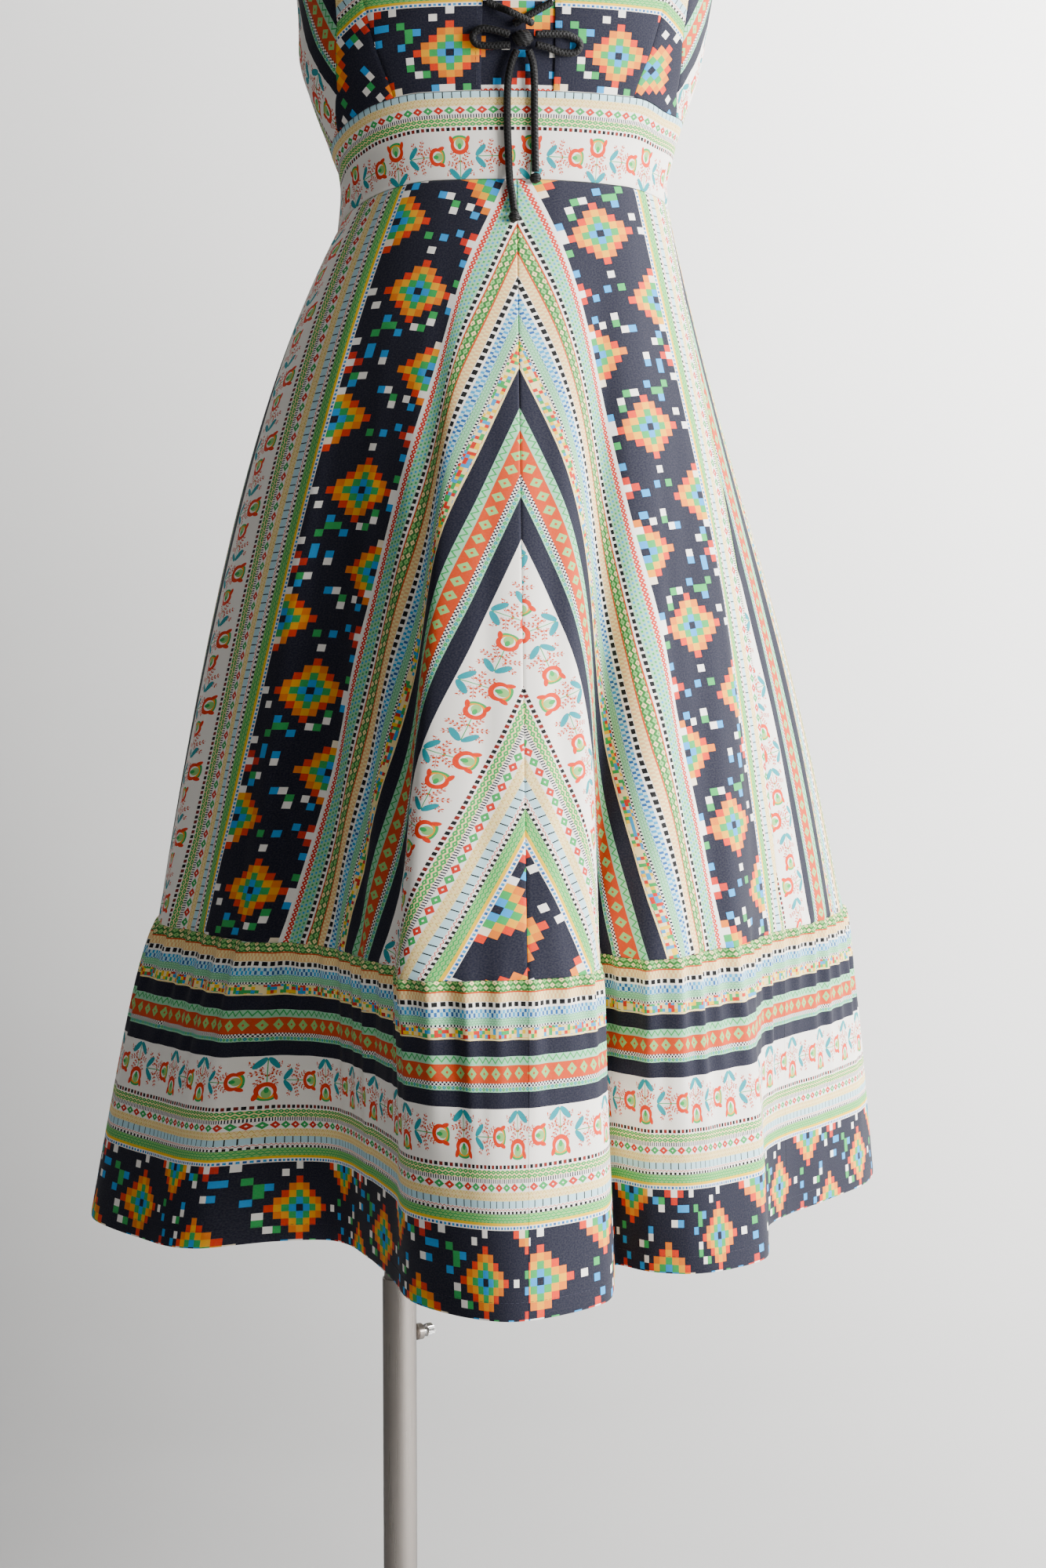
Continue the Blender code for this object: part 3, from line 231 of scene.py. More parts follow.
# Edges of the bodice panels, as angles on the form's sections
EdgeAngle = namedtuple("EdgeAngle", "height angle")
NECK_EDGE = table(
    EdgeAngle,
    (1.300, 11.3), (1.380, 10.0), (1.450, 9.1), (1.462, 13.0), (1.478, 18.0), (1.505, 22.5),
    (1.550, 24.5), (1.640, 25.5),
)
PRINCESS_EDGE = table(
    EdgeAngle,
    (1.300, 40.0), (1.345, 44.0), (1.380, 47.0), (1.420, 49.0), (1.480, 53.0), (1.530, 56.5),
    (1.560, 54.5), (1.640, 54.0),
)
SIDE_EDGE = table(
    EdgeAngle,
    (1.210, 78.0), (1.240, 77.0), (1.270, 75.0), (1.295, 70.0), (1.320, 63.0), (1.360, 58.0),
    (1.400, 58.0), (1.470, 66.0), (1.480, 81.0), (1.495, 95.0), (1.520, 108.0), (1.560, 118.0),
    (1.640, 126.0),
)
BACK_NECK_EDGE = table(
    EdgeAngle,
    (1.300, 180.0), (1.565, 180.0), (1.578, 171.0), (1.592, 163.0), (1.615, 157.0), (1.640, 154.0),
)
ARMHOLE_FRONT = 1.530
ARMHOLE_SIDE = 1.470
MIDRIFF_LOW = 1.240
MIDRIFF_HIGH = 1.300
BODICE_FOOT = 1.300
FOOT_FADE = 0.10
FRONT_ROWS = (
    1.30, 1.335, 1.365, 1.395, 1.422, 1.45, 1.462, 1.478, 1.505, 1.53,
    1.56, 1.592, 1.615, 1.63, 1.638, 1.64,
)
BACK_ROWS = (1.48, 1.495, 1.52, 1.54, 1.56, 1.578, 1.592, 1.615, 1.63, 1.638, 1.64)

# One row for each crest, wall and hollow of the folds, round from the left
Fold = namedtuple("Fold", "name seam_angle seam_radius hem_angle hem_radius")
FOLDS = table(
    Fold,
    ("left_crest", -72.6, 0.263, -76.0, 0.3115), ("left_slope", -63.6, 0.256, -64.0, 0.300),
    ("wave_crest", -47.4, 0.258, -53.5, 0.284), ("wave_wall", -42.5, 0.242, -49.0, 0.232),
    ("wave_hollow", -33.4, 0.246, -41.0, 0.202), ("first_step", -23.3, 0.287, -28.7, 0.230),
    ("centre_left_wall", -17.7, 0.314, -20.3, 0.279), ("centre_left_edge", -15.3, 0.360, -15.0, 0.332),
    ("centre_left_crest", -9.5, 0.363, -8.2, 0.365), ("centre_front", -2.4, 0.356, -2.4, 0.370),
    ("centre_right_crest", 4.2, 0.338, 6.4, 0.332), ("centre_right_wall", 6.6, 0.312, 9.6, 0.292),
    ("centre_right_tuck", 9.4, 0.252, 13.6, 0.236), ("second_crest", 13.6, 0.287, 17.2, 0.262),
    ("second_face", 19.2, 0.287, 22.0, 0.279), ("second_slope", 27.6, 0.264, 29.5, 0.280),
    ("second_wall", 33.0, 0.262, 37.0, 0.270), ("third_hollow", 40.5, 0.245, 49.7, 0.226),
    ("right_side", 50.5, 0.235, 60.5, 0.222), ("right_slope", 62.1, 0.239, 72.4, 0.238),
    ("right_crest", 78.0, 0.247, 87.0, 0.2705), ("right_back_crest", 92.0, 0.249, 99.0, 0.284),
    ("back_hollow_1", 104.0, 0.240, 109.0, 0.250), ("back_crest_1", 121.0, 0.264, 125.0, 0.296),
    ("back_hollow_2", 136.0, 0.222, 140.0, 0.214), ("back_crest_2", 145.0, 0.246, 148.0, 0.270),
    ("back_hollow_3", 155.0, 0.228, 157.0, 0.226), ("back_crest_3", 170.0, 0.252, 169.0, 0.290),
    ("centre_back", 180.0, 0.246, 180.0, 0.268), ("back_hollow_4", 192.0, 0.218, 193.0, 0.206),
    ("back_crest_4", 204.0, 0.240, 204.0, 0.262), ("back_hollow_5", 213.0, 0.226, 213.0, 0.222),
    ("back_crest_5", 231.0, 0.262, 231.0, 0.300), ("back_hollow_6", 246.0, 0.230, 247.0, 0.224),
    ("left_back_slope", 257.0, 0.246, 257.0, 0.270), ("left_side", 272.0, 0.251, 271.0, 0.294),
)

# The skirt's four seams, as angles at the waist
Gore = namedtuple("Gore", "fold waist_angle")
GORES = table(
    Gore,
    ("centre_front", 0.0), ("right_side", 77.0), ("centre_back", 180.0), ("left_side", 283.0),
)
BASE_LEFT = 0.252
BASE_RIGHT = 0.248
BASE_FRONT = 0.285
BASE_BACK = 0.240
FLARE_BOW = 0.39
FLARE_BOW_SIDE = 0.11
HIP_BOW = 0.03
HIP_BOW_SIDE = 0.47

# How the stripes run on each bodice panel
PanelRun = namedtuple("PanelRun", "slant foot shift_left shift_right")
PANEL_RUNS = {
    "bodice_front": PanelRun(0.0, 0.0625, 0.0201, 0.0634),
    "bodice_side_front": PanelRun(25.0, 0.0560, 0.110, 0.110),
    "bodice_back": PanelRun(58.0, 0.3770, 0.0, 0.0),
}
UNDERLAY_FOOT = 0.0665
BAND_TOP_CUT = 0.2254
BAND_FOOT_CUT = 0.1640

# How the stripes run on the skirt: a chevron on the centre front and back seams
STRIPE_COS = 0.934
STRIPE_SIN = 0.3563
STRIPE_START = 0.0688
STRIPE_NEAR = 0.80
STRIPE_DROOP = 0.05
DROOP_FROM = 0.40
BACK_STRIPE_START = 0.183
BACK_STRIPE_COS = 0.807
BACK_STRIPE_SIN = 0.590
SKIRT_SLANT = 0.555
FLOUNCE_START = 0.0815

# Each gore laid flat is a piece of a ring: its top radius and its angle
GoreCut = namedtuple("GoreCut", "top_radius spread from_start front hand shift ease")
GORE_CUTS = {
    "front_right": GoreCut(0.362, 0.375, True, True, 1.0, 0.054, 0.0),
    "front_left": GoreCut(0.267, 0.594, False, True, -1.0, -0.058, 0.40),
    "back_right": GoreCut(0.233, 0.790, False, False, 1.0, 0.0, 0.0),
    "back_left": GoreCut(0.474, 0.433, True, False, -1.0, 0.0, 0.0),
}

# The cut of each piece: its width, length and area laid flat
Cut = namedtuple("Cut", "width length area")
CUTS = {
    "bodice_front": Cut(0.13, 0.36, 0.0292),
    "bodice_side_front": Cut(0.07, 0.25, 0.0068),
    "bodice_back": Cut(0.24, 0.37, 0.0730),
    "lacing_underlay": Cut(0.075, 0.155, 0.0110),
    "midriff_front": Cut(0.31, 0.07, 0.0181),
    "midriff_back_left": Cut(0.20, 0.07, 0.0120),
    "midriff_back_right": Cut(0.20, 0.07, 0.0120),
    "skirt_front_left": Cut(0.49, 0.60, 0.1750),
    "skirt_front_right": Cut(0.37, 0.60, 0.1320),
    "skirt_back_left": Cut(0.44, 0.56, 0.1607),
    "skirt_back_right": Cut(0.60, 0.56, 0.2022),
    "flounce_front_left": Cut(0.63, 0.22, 0.1386),
    "flounce_front_right": Cut(0.47, 0.22, 0.1034),
    "flounce_back_left": Cut(0.55, 0.22, 0.1210),
    "flounce_back_right": Cut(0.77, 0.22, 0.1694),
}

# Drag lines of the bodice and the band
BodiceCrease = namedtuple("BodiceCrease", "angle height half_length half_width depth slant bend")
BODICE_CREASES = table(
    BodiceCrease,
    (-66.0, 1.318, 0.034, 0.0050, 0.0012, 8.0, 2.0), (-72.0, 1.339, 0.028, 0.0060, 0.0010, -12.0, 1.0),
    (-58.0, 1.271, 0.030, 0.0045, 0.0009, 10.0, -2.0), (-84.0, 1.262, 0.032, 0.0050, 0.0011, -6.0, 0.0),
    (-34.0, 1.345, 0.030, 0.0055, 0.0008, 32.0, 1.0), (-26.0, 1.402, 0.034, 0.0070, 0.0009, 48.0, 0.0),
    (30.0, 1.398, 0.036, 0.0070, 0.0009, -50.0, 0.0), (36.0, 1.336, 0.028, 0.0055, 0.0009, -30.0, 1.0),
    (62.0, 1.316, 0.036, 0.0050, 0.0012, -9.0, 2.0), (74.0, 1.333, 0.026, 0.0055, 0.0010, 14.0, 0.0),
    (56.0, 1.270, 0.028, 0.0045, 0.0009, -8.0, -2.0), (88.0, 1.258, 0.034, 0.0050, 0.0011, 6.0, 0.0),
    (112.0, 1.330, 0.036, 0.0060, 0.0012, 18.0, 1.0),
    (-116.0, 1.326, 0.040, 0.0060, 0.0012, -16.0, 1.0), (150.0, 1.302, 0.040, 0.0060, 0.0014, 4.0, 1.5),
    (-154.0, 1.316, 0.036, 0.0060, 0.0013, -8.0, 1.5), (138.0, 1.370, 0.040, 0.0080, 0.0011, 40.0, 0.0),
    (-136.0, 1.384, 0.040, 0.0080, 0.0011, -38.0, 0.0), (84.0, 1.440, 0.032, 0.0070, 0.0011, 52.0, 0.0),
    (-86.0, 1.446, 0.034, 0.0070, 0.0011, -54.0, 0.0),
)

# Soft small folds between the main ones: place from a fold, in metres at the seam
SkirtFold = namedtuple("SkirtFold", "fold shift level half_width half_length height drift")
SKIRT_FOLDS = table(
    SkirtFold,
    ("left_crest", 0.014, 0.86, 0.010, 0.30, 0.0030, 0.006),
    ("left_slope", 0.030, 0.72, 0.014, 0.34, 0.0026, -0.010),
    ("wave_crest", -0.016, 0.94, 0.008, 0.20, -0.0022, 0.0),
    ("wave_hollow", 0.016, 0.66, 0.013, 0.30, 0.0024, 0.012),
    ("wave_hollow", 0.046, 0.90, 0.009, 0.22, -0.0024, 0.0),
    ("first_step", 0.012, 0.58, 0.012, 0.26, 0.0022, -0.008),
    ("centre_left_crest", 0.014, 0.76, 0.010, 0.34, -0.0020, 0.006),
    ("centre_front", 0.018, 0.88, 0.009, 0.22, 0.0022, 0.0),
    ("centre_right_crest", -0.014, 0.62, 0.011, 0.28, -0.0018, 0.010),
    ("second_crest", 0.012, 0.84, 0.009, 0.22, 0.0024, -0.006),
    ("second_face", 0.016, 0.70, 0.011, 0.30, -0.0022, 0.0),
    ("second_slope", 0.012, 0.92, 0.008, 0.18, 0.0022, 0.0),
    ("third_hollow", -0.016, 0.60, 0.012, 0.28, 0.0024, 0.008),
    ("right_side", 0.018, 0.88, 0.010, 0.24, 0.0026, -0.006),
    ("right_slope", 0.022, 0.70, 0.013, 0.32, 0.0022, 0.0),
    ("right_crest", 0.026, 0.90, 0.010, 0.24, -0.0024, 0.008),
    ("right_back_crest", 0.020, 0.64, 0.014, 0.34, 0.0026, 0.0),
    ("back_hollow_1", 0.030, 0.88, 0.010, 0.26, 0.0028, -0.008),
    ("back_crest_1", 0.026, 0.62, 0.013, 0.28, -0.0024, 0.0),
    ("back_hollow_2", 0.016, 0.90, 0.009, 0.22, 0.0026, 0.0),
    ("back_hollow_3", 0.030, 0.74, 0.011, 0.30, -0.0026, 0.010),
    ("back_crest_3", 0.020, 0.90, 0.009, 0.22, 0.0024, 0.0),
    ("centre_back", 0.024, 0.66, 0.012, 0.30, -0.0024, -0.006),
    ("back_hollow_4", 0.022, 0.88, 0.010, 0.24, 0.0026, 0.0),
    ("back_hollow_5", 0.034, 0.70, 0.013, 0.32, -0.0026, 0.008),
    ("back_crest_5", 0.028, 0.90, 0.010, 0.24, 0.0028, 0.0),
    ("back_hollow_6", 0.020, 0.62, 0.012, 0.28, 0.0024, 0.0),
    ("left_side", -0.026, 0.88, 0.010, 0.26, -0.0024, -0.006),
)
PUCKER_REACH = 0.05
PUCKER_DEPTH = 0.0010
RIPPLE_COUNT = 61
ROW_SPACING = 0.006
COLUMN_SPACING = 0.0055
PANEL_COLUMNS = 22
UNDERLAY_COLUMNS = 14
GATHER_COLUMNS = 8
EDGE_STEPS = 60
EDGE_STITCH_TOP = 1.600
NARROWEST = 0.02
BAND_DEPTH = 0.06
SEAM_STEP = 0.0005
EDGE_MARGIN = 0.003
HEM_DEPTH = 0.012
SEAM_STITCH_POINTS = 900

# Stage
CAMERA_LENS = 75.15
CAMERA_PLACE = (-0.1172, -2.3990, 1.05)
CAMERA_TILT = 84.53
CAMERA_PAN = -5.0
CAMERA_SENSOR = 36.0
SWEEP_START = 1.2
SWEEP_RADIUS = 0.9
SWEEP_STEPS = 16
BACKDROP_COLUMNS = (-9.0, -3.0, 0.0, 3.0, 9.0)
FLOOR_DROP = 0.0005

# Texture of the cloth and the lace, in millimetres and metres
THREAD_PITCH = 0.7
BRAID_PITCH = 0.0026
BRAID_STRANDS = 4.0


def smooth(value):
    """Ease from 0 to 1, flat at both ends."""
    value = min(1.0, max(0.0, value))
    return value * value * (3.0 - 2.0 * value)


def mix(start, end, share):
    return start + (end - start) * share


def slope_at(keys, values, index):
    """Slope of a curve through the points that never overshoots them."""
    if index in (0, len(keys) - 1):
        return 0.0
    before = (values[index] - values[index - 1]) / (keys[index] - keys[index - 1])
    after = (values[index + 1] - values[index]) / (keys[index + 1] - keys[index])
    if before * after <= 0.0:
        return 0.0
    return 2.0 * before * after / (before + after)


def hermite(start, start_slope, end, end_slope, share):
    """A point of the curve between two points with their slopes."""
    square = share * share
    cube = square * share
    return (
        start * (2 * cube - 3 * square + 1)
        + start_slope * (cube - 2 * square + share)
        + end * (3 * square - 2 * cube)
        + end_slope * (cube - square)
    )


def table_value(rows, column, key):
    """Read a named column of a table at a key, on a smooth curve."""
    keys = [row[0] for row in rows]
    values = [getattr(row, column) for row in rows]
    if key <= keys[0]:
        return values[0]
    if key >= keys[-1]:
        return values[-1]
    index = bisect_right(keys, key) - 1
    width = keys[index + 1] - keys[index]
    start_slope = slope_at(keys, values, index) * width
    end_slope = slope_at(keys, values, index + 1) * width
    share = (key - keys[index]) / width
    return hermite(values[index], start_slope, values[index + 1], end_slope, share)


def seam_height(column, angle):
    """Height of a seam at an angle of any size."""
    wrapped = (angle + 180.0) % 360.0 - 180.0
    return table_value(SEAMS, column, wrapped)


def body_point(angle, height):
    """A point of the form's skin, at an angle from the centre front."""
    turn = radians(angle)
    depth_column = "front" if cos(turn) > 0.0 else "back"
    x = table_value(BODY, "half_width", height) * sin(turn)
    y = -table_value(BODY, depth_column, height) * cos(turn)
    low = smooth((height - SHOULDER_LOW) / (SHOULDER_HIGH - SHOULDER_LOW))
    drop = SHOULDER_SLOPE * max(0.0, abs(x) - SHOULDER_START) * low
    return Vector((FORM_X + x, FORM_Y + y, height - drop))


def body_normal(angle, height):
    """Outward normal: level below the bust, turning upward at the shoulder."""
    step = 0.5
    rise = 0.001
    level = min(height, FORM_TOP - 2 * rise)
    along = body_point(angle + step, level) - body_point(angle - step, level)
    flat = Vector((along.y, -along.x, 0.0)).normalized()
    up = body_point(angle, level + rise) - body_point(angle, level - rise)
    full = along.cross(up).normalized()
    share = smooth((height - TURN_UP_START) / TURN_UP_LENGTH)
    return (flat * (1.0 - share) + full * share).normalized()


def ease_at(angle, height):
    """Room between the form's skin and the cloth."""
    turn = radians(angle)
    side = table_value(EASE, "right" if sin(turn) > 0.0 else "left", height)
    middle = table_value(EASE, "front" if cos(turn) > 0.0 else "back", height)
    return side * sin(turn) ** 2 + middle * cos(turn) ** 2


def cloth_point(angle, height, depth=0.0):
    """A point of the bodice or band: depth 0 is outside, WALL is inside."""
    out = WALL + ease_at(angle, height) - depth
    return body_point(angle, height) + body_normal(angle, height) * out


def polar(angle, radius):
    turn = radians(angle)
    return Vector((FORM_X + radius * sin(turn), FORM_Y - radius * cos(turn)))


def base_radius(angle):
    """The skirt's plain outline at the flounce seam, without its folds."""
    turn = radians(angle)
    side = BASE_RIGHT if sin(turn) > 0.0 else BASE_LEFT
    middle = BASE_FRONT if cos(turn) > 0.0 else BASE_BACK
    return 1.0 / sqrt((sin(turn) / side) ** 2 + (cos(turn) / middle) ** 2)


def fold_marks():
    """Share of the way round at which each fold stands, and its waist angle."""
    points = [polar(fold.seam_angle, fold.seam_radius) for fold in FOLDS]
    points.append(points[0])
    lengths = [0.0]
    for start, end in zip(points, points[1:]):
        lengths.append(lengths[-1] + (end - start).length)
    marks = [length / lengths[-1] for length in lengths]
    names = [fold.name for fold in FOLDS]
    seams = [(marks[names.index(gore.fold)], gore.waist_angle) for gore in GORES]
    first_mark, first_angle = seams[0]
    last_mark, last_angle = seams[-1]
    seams.insert(0, (last_mark - 1.0, last_angle - 360.0))
    seams.append((first_mark + 1.0, first_angle + 360.0))
    waist_angles = []
    for mark in marks[:-1]:
        for (low, low_angle), (high, high_angle) in zip(seams, seams[1:]):
            if low <= mark <= high:
                share = (mark - low) / (high - low)
                waist_angles.append(mix(low_angle, high_angle, share))
                break
    return marks, waist_angles, lengths[-1]


MARKS, WAIST_ANGLES, SEAM_LENGTH = fold_marks()
MARK_OF = {fold.name: mark for fold, mark in zip(FOLDS, MARKS)}


# The soft small folds, as shares of the way round
SkirtCrease = namedtuple("SkirtCrease", "share level half_width half_length height drift")
SKIRT_CREASES = [
    SkirtCrease(
        MARK_OF[fold.fold] + fold.shift / SEAM_LENGTH,
        fold.level,
        fold.half_width / SEAM_LENGTH,
        fold.half_length,
        fold.height,
        fold.drift / SEAM_LENGTH,
    )
    for fold in SKIRT_FOLDS
]


def skirt_controls(level):
    """Control points of the skirt's ring at a level from 0, waist, to 1, seam."""
    controls = []
    growth = level ** FOLD_GROWTH
    for fold, waist_angle in zip(FOLDS, WAIST_ANGLES):
        waist = cloth_point(waist_angle, seam_height("band_bottom", waist_angle)).to_2d()
        plain = polar(fold.seam_angle, base_radius(fold.seam_angle))
        folded = polar(fold.seam_angle, fold.seam_radius)
        side = sin(radians(fold.seam_angle))
        bow = FLARE_BOW - FLARE_BOW_SIDE * side
        bow += (HIP_BOW - HIP_BOW_SIDE * side) * (1.0 - level) ** 2
        flare = level + bow * level * (1.0 - level)
        controls.append(waist + (plain - waist) * flare + (folded - plain) * growth)
    return controls


def flounce_controls(level):
    """Control points of the flounce's ring at a level from 0, seam, to 1, hem."""
    spread = level ** FLOUNCE_SPREAD
    controls = []
    for fold in FOLDS:
        top = polar(fold.seam_angle, fold.seam_radius)
        bottom = polar(fold.hem_angle, fold.hem_radius)
        controls.append(top + (bottom - top) * spread)
    return controls


def ring_point(controls, share):
    """A point of the smooth closed curve through the control points."""
    share %= 1.0
    count = len(controls)
    index = min(bisect_right(MARKS, share) - 1, count - 1)
    before, start, end, after = [controls[(index + step) % count] for step in (-1, 0, 1, 2)]
    width = MARKS[index + 1] - MARKS[index]
    before_width = MARKS[index] - MARKS[index - 1] if index else 1.0 - MARKS[count - 1]
    after_width = MARKS[index + 2] - MARKS[index + 1] if index + 2 <= count else MARKS[1]
    start_slope = (end - before) * (width / (width + before_width))
    end_slope = (after - start) * (width / (width + after_width))
    return hermite(start, start_slope, end, end_slope, (share - MARKS[index]) / width)


def ring_normal(controls, share):
    step = 0.0008
    along = ring_point(controls, share + step) - ring_point(controls, share - step)
    return Vector((along.y, -along.x)).normalized()


def waist_angle_at(share):
    """Angle at the waist of the cloth that lies at a share of the way round."""
    share %= 1.0
    index = min(bisect_right(MARKS, share) - 1, len(FOLDS) - 1)
    start = WAIST_ANGLES[index]
    end = WAIST_ANGLES[(index + 1) % len(FOLDS)]
    if end < start:
        end += 360.0
    local = (share - MARKS[index]) / (MARKS[index + 1] - MARKS[index])
    return mix(start, end, local)


def hem_height(share):
    point = ring_point(flounce_controls(1.0), share)
    angle = degrees(atan2(point.x - FORM_X, FORM_Y - point.y))
    return seam_height("hem", angle)


def settings():
    return bpy.context.scene.day_dress


def link(name, mesh, *materials):
    """Put a finished mesh in the scene, at the origin, with its materials."""
    item = bpy.data.objects.new(name, mesh)
    bpy.context.scene.collection.objects.link(item)
    for material in materials:
        mesh.materials.append(material)
    return item


def close_mesh(build, name, sharp=35.0):
    """Turn a closed hand-built mesh outward and shade it smooth."""
    bmesh.ops.recalc_face_normals(build, faces=build.faces[:])
    if build.calc_volume(signed=True) < 0.0:
        bmesh.ops.reverse_faces(build, faces=build.faces[:])
    mesh = bpy.data.meshes.new(name)
    build.to_mesh(mesh)
    build.free()
    mesh.shade_smooth()
    mesh.set_sharp_from_angle(angle=radians(sharp))
    return mesh


def cloth_mesh(name, outer, inner, cut):
    """A closed wall of cloth between two grids; cut gives each point's place on the cloth."""
    rows = len(outer)
    columns = len(outer[0])
    build = bmesh.new()
    print_map = build.loops.layers.uv.new("cut")
    skins = []
    for grid in (outer, inner):
        skins.append([[build.verts.new(point) for point in row] for row in grid])
    place = {}
    for skin in skins:
        for vertex_row, cut_row in zip(skin, cut):
            place.update(zip(vertex_row, cut_row))
    front, back = skins
    for row in range(rows - 1):
        for column in range(columns - 1):
            corners = ((row, column), (row, column + 1), (row + 1, column + 1), (row + 1, column))
            build.faces.new([front[r][c] for r, c in corners])
            reverse = build.faces.new([back[r][c] for r, c in reversed(corners)])
            reverse.material_index = 1
    edge = [(0, column) for column in range(columns)]
    edge += [(row, columns - 1) for row in range(1, rows)]
    edge += [(rows - 1, column) for column in range(columns - 2, -1, -1)]
    edge += [(row, 0) for row in range(rows - 2, 0, -1)]
    for (r0, c0), (r1, c1) in zip(edge, edge[1:] + edge[:1]):
        build.faces.new((front[r1][c1], front[r0][c0], back[r0][c0], back[r1][c1]))
    for face in build.faces:
        for loop in face.loops:
            loop[print_map].uv = place[loop.vert]
    return close_mesh(build, name, 60.0)


def sew_in(name, rows, rests):
    """Make a cloth piece of rows of (outer, inner, cut), for its solid."""
    grids = [[[spot[part] for spot in row] for row in rows] for part in range(3)]
    mesh = cloth_mesh(name, *grids)
    item = link(name + "_cloth", mesh, look("dress_print"), look("dress_print_reverse"))
    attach(item, FIGURE)
    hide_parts(name)
    "navy_print_cloth" if name == "lacing_underlay" else "print_cloth"
    size = CUTS[name] if name in CUTS else CUTS[name.rpartition("_")[0]]


def seam_steps(length, spacing):
    """Shares along a length, closer together near both ends, with each end's roll."""
    middle = max(2, ceil(length / spacing))
    fine = [0.0, ROLL_WIDTH * 0.3 / length, ROLL_WIDTH * 0.65 / length]
    shares = fine + [
        mix(ROLL_WIDTH / length, 1.0 - ROLL_WIDTH / length, step / middle)
        for step in range(middle + 1)
    ]
    shares += [1.0 - share for share in reversed(fine)]
    rolls = []
    for share in shares:
        near = min(share, 1.0 - share) * length
        rolls.append(ROLL_DEPTH * max(0.0, 1.0 - near / ROLL_WIDTH) ** 2)
    return shares, rolls


def bodice_crease(angle, height):
    """Depth of the small drag lines of the bodice and the band at a place."""
    if height >= TURN_UP_START:
        return 0.0
    depth = 0.0
    for crease in BODICE_CREASES:
        turn = (angle - crease.angle + 180.0) % 360.0 - 180.0
        if abs(turn) > 60.0:
            continue
        side = radians(turn) * PANEL_RADIUS
        rise = height - crease.height
        slant = radians(crease.slant)
        along = side * cos(slant) + rise * sin(slant)
        across = rise * cos(slant) - side * sin(slant) + crease.bend * along * along
        reach = exp(-((along / crease.half_length) ** 2))
        depth += crease.depth * reach * exp(-((across / crease.half_width) ** 2))
    return depth * settings().crease_depth


def walls(angle, level, roll):
    """The outer and the inner face of the cloth on the form, with its drag lines."""
    crease = bodice_crease(angle, level)
    return [cloth_point(angle, level, depth + roll + crease) for depth in (0.0, CLOTH)]


def panel_cut(kind, sign, across, above):
    """Place on the printed cloth of a bodice point: across from its inner seam, above its foot."""
    run = PANEL_RUNS[kind]
    slant = radians(run.slant)
    shift = run.shift_right if sign > 0.0 else run.shift_left
    along = sign * (across * cos(slant) - above * sin(slant) + shift)
    return (along, run.foot - above * cos(slant) - across * sin(slant))


def bodice_piece(name, kind, sign, near_rows, far_rows, near, far):
    """One bodice panel on the form's sections, between two edges."""
    sides = [(near_rows, edge_function(near, sign)), (far_rows, edge_function(far, sign))]
    if sign < 0.0:
        sides.reverse()
    (left_rows, left_edge), (right_rows, right_edge) = sides
    nudge = degrees(HALF_GAP / PANEL_RADIUS)
    rows = []
    for left_height, right_height in zip(fine_rows(left_rows), fine_rows(right_rows)):
        start = edge_spot(left_edge, left_height) + nudge
        end = edge_spot(right_edge, right_height) - nudge
        width = max(NARROWEST, radians(end - start) * PANEL_RADIUS)
        row = []
        for column in range(PANEL_COLUMNS + 1):
            share = 0.5 - 0.5 * cos(pi * column / PANEL_COLUMNS)
            angle = mix(start, end, share)
            height = mix(left_height, right_height, share)
            near_seam = min(share, 1.0 - share) * width
            roll = ROLL_DEPTH * max(0.0, 1.0 - near_seam / ROLL_WIDTH) ** 2
            if height >= FORM_TOP:
                top = body_point(angle, FORM_TOP)
                top.y = FORM_Y + (-HALF_GAP if abs(angle) < 90.0 else HALF_GAP)
                top.z += ease_at(angle, FORM_TOP)
                faces = [top + Vector((0.0, 0.0, rise)) for rise in (WALL, WALL - CLOTH)]
            else:
                faces = walls(angle, foot_shift(height, angle), roll)
            inward = share if sign > 0.0 else 1.0 - share
            across = width * (1.0 - inward if kind == "bodice_back" else inward)
            row.append((*faces, panel_cut(kind, sign, across, height - BODICE_FOOT)))
        rows.append(row)
    sew_in(name, rows, ["torso_form"])


def fine_rows(rows):
    """Rows between a solid's rows, at most a few millimetres apart."""
    fine = []
    for low, high in zip(rows, rows[1:]):
        parts = max(1, ceil((high - low) / ROW_SPACING))
        fine += [mix(low, high, step / parts) for step in range(parts)]
    return fine + [rows[-1]]


def foot_shift(height, angle):
    """Move a row near the band so that the lowest one follows the seam."""
    share = max(0.0, 1.0 - (height - BODICE_FOOT) / FOOT_FADE)
    return height + (bodice_foot(angle) - BODICE_FOOT) * share


def edge_spot(edge, height):
    """Angle of a panel's edge at a row, the same for both panels of a seam."""
    angle = edge(height)
    for _ in range(3):
        angle = edge(foot_shift(height, angle))
    return angle


def edge_function(rows, sign):
    """An edge of a panel as a function of height, on either side."""
    return lambda height: sign * table_value(rows, "angle", height)


def bodice_foot(angle):
    return seam_height("band_top", angle) + BAND_GAP


def sew_bodice():
    """Front, side front and back panels on each side of the lacing."""
    princess_rows = [row for row in FRONT_ROWS if row <= ARMHOLE_FRONT]
    drop = (ARMHOLE_SIDE - BODICE_FOOT) / (ARMHOLE_FRONT - BODICE_FOOT)
    underarm_rows = [BODICE_FOOT + (row - BODICE_FOOT) * drop for row in princess_rows]
    back_rows = underarm_rows + list(BACK_ROWS)
    pieces = (
        ("bodice_front", FRONT_ROWS, FRONT_ROWS, NECK_EDGE, PRINCESS_EDGE),
        ("bodice_side_front", princess_rows, underarm_rows, PRINCESS_EDGE, SIDE_EDGE),
        ("bodice_back", back_rows, back_rows, SIDE_EDGE, BACK_NECK_EDGE),
    )
    for side, sign in (("left", -1.0), ("right", 1.0)):
        for kind, *edges in pieces:
            bodice_piece(f"{kind}_{side}", kind, sign, *edges)


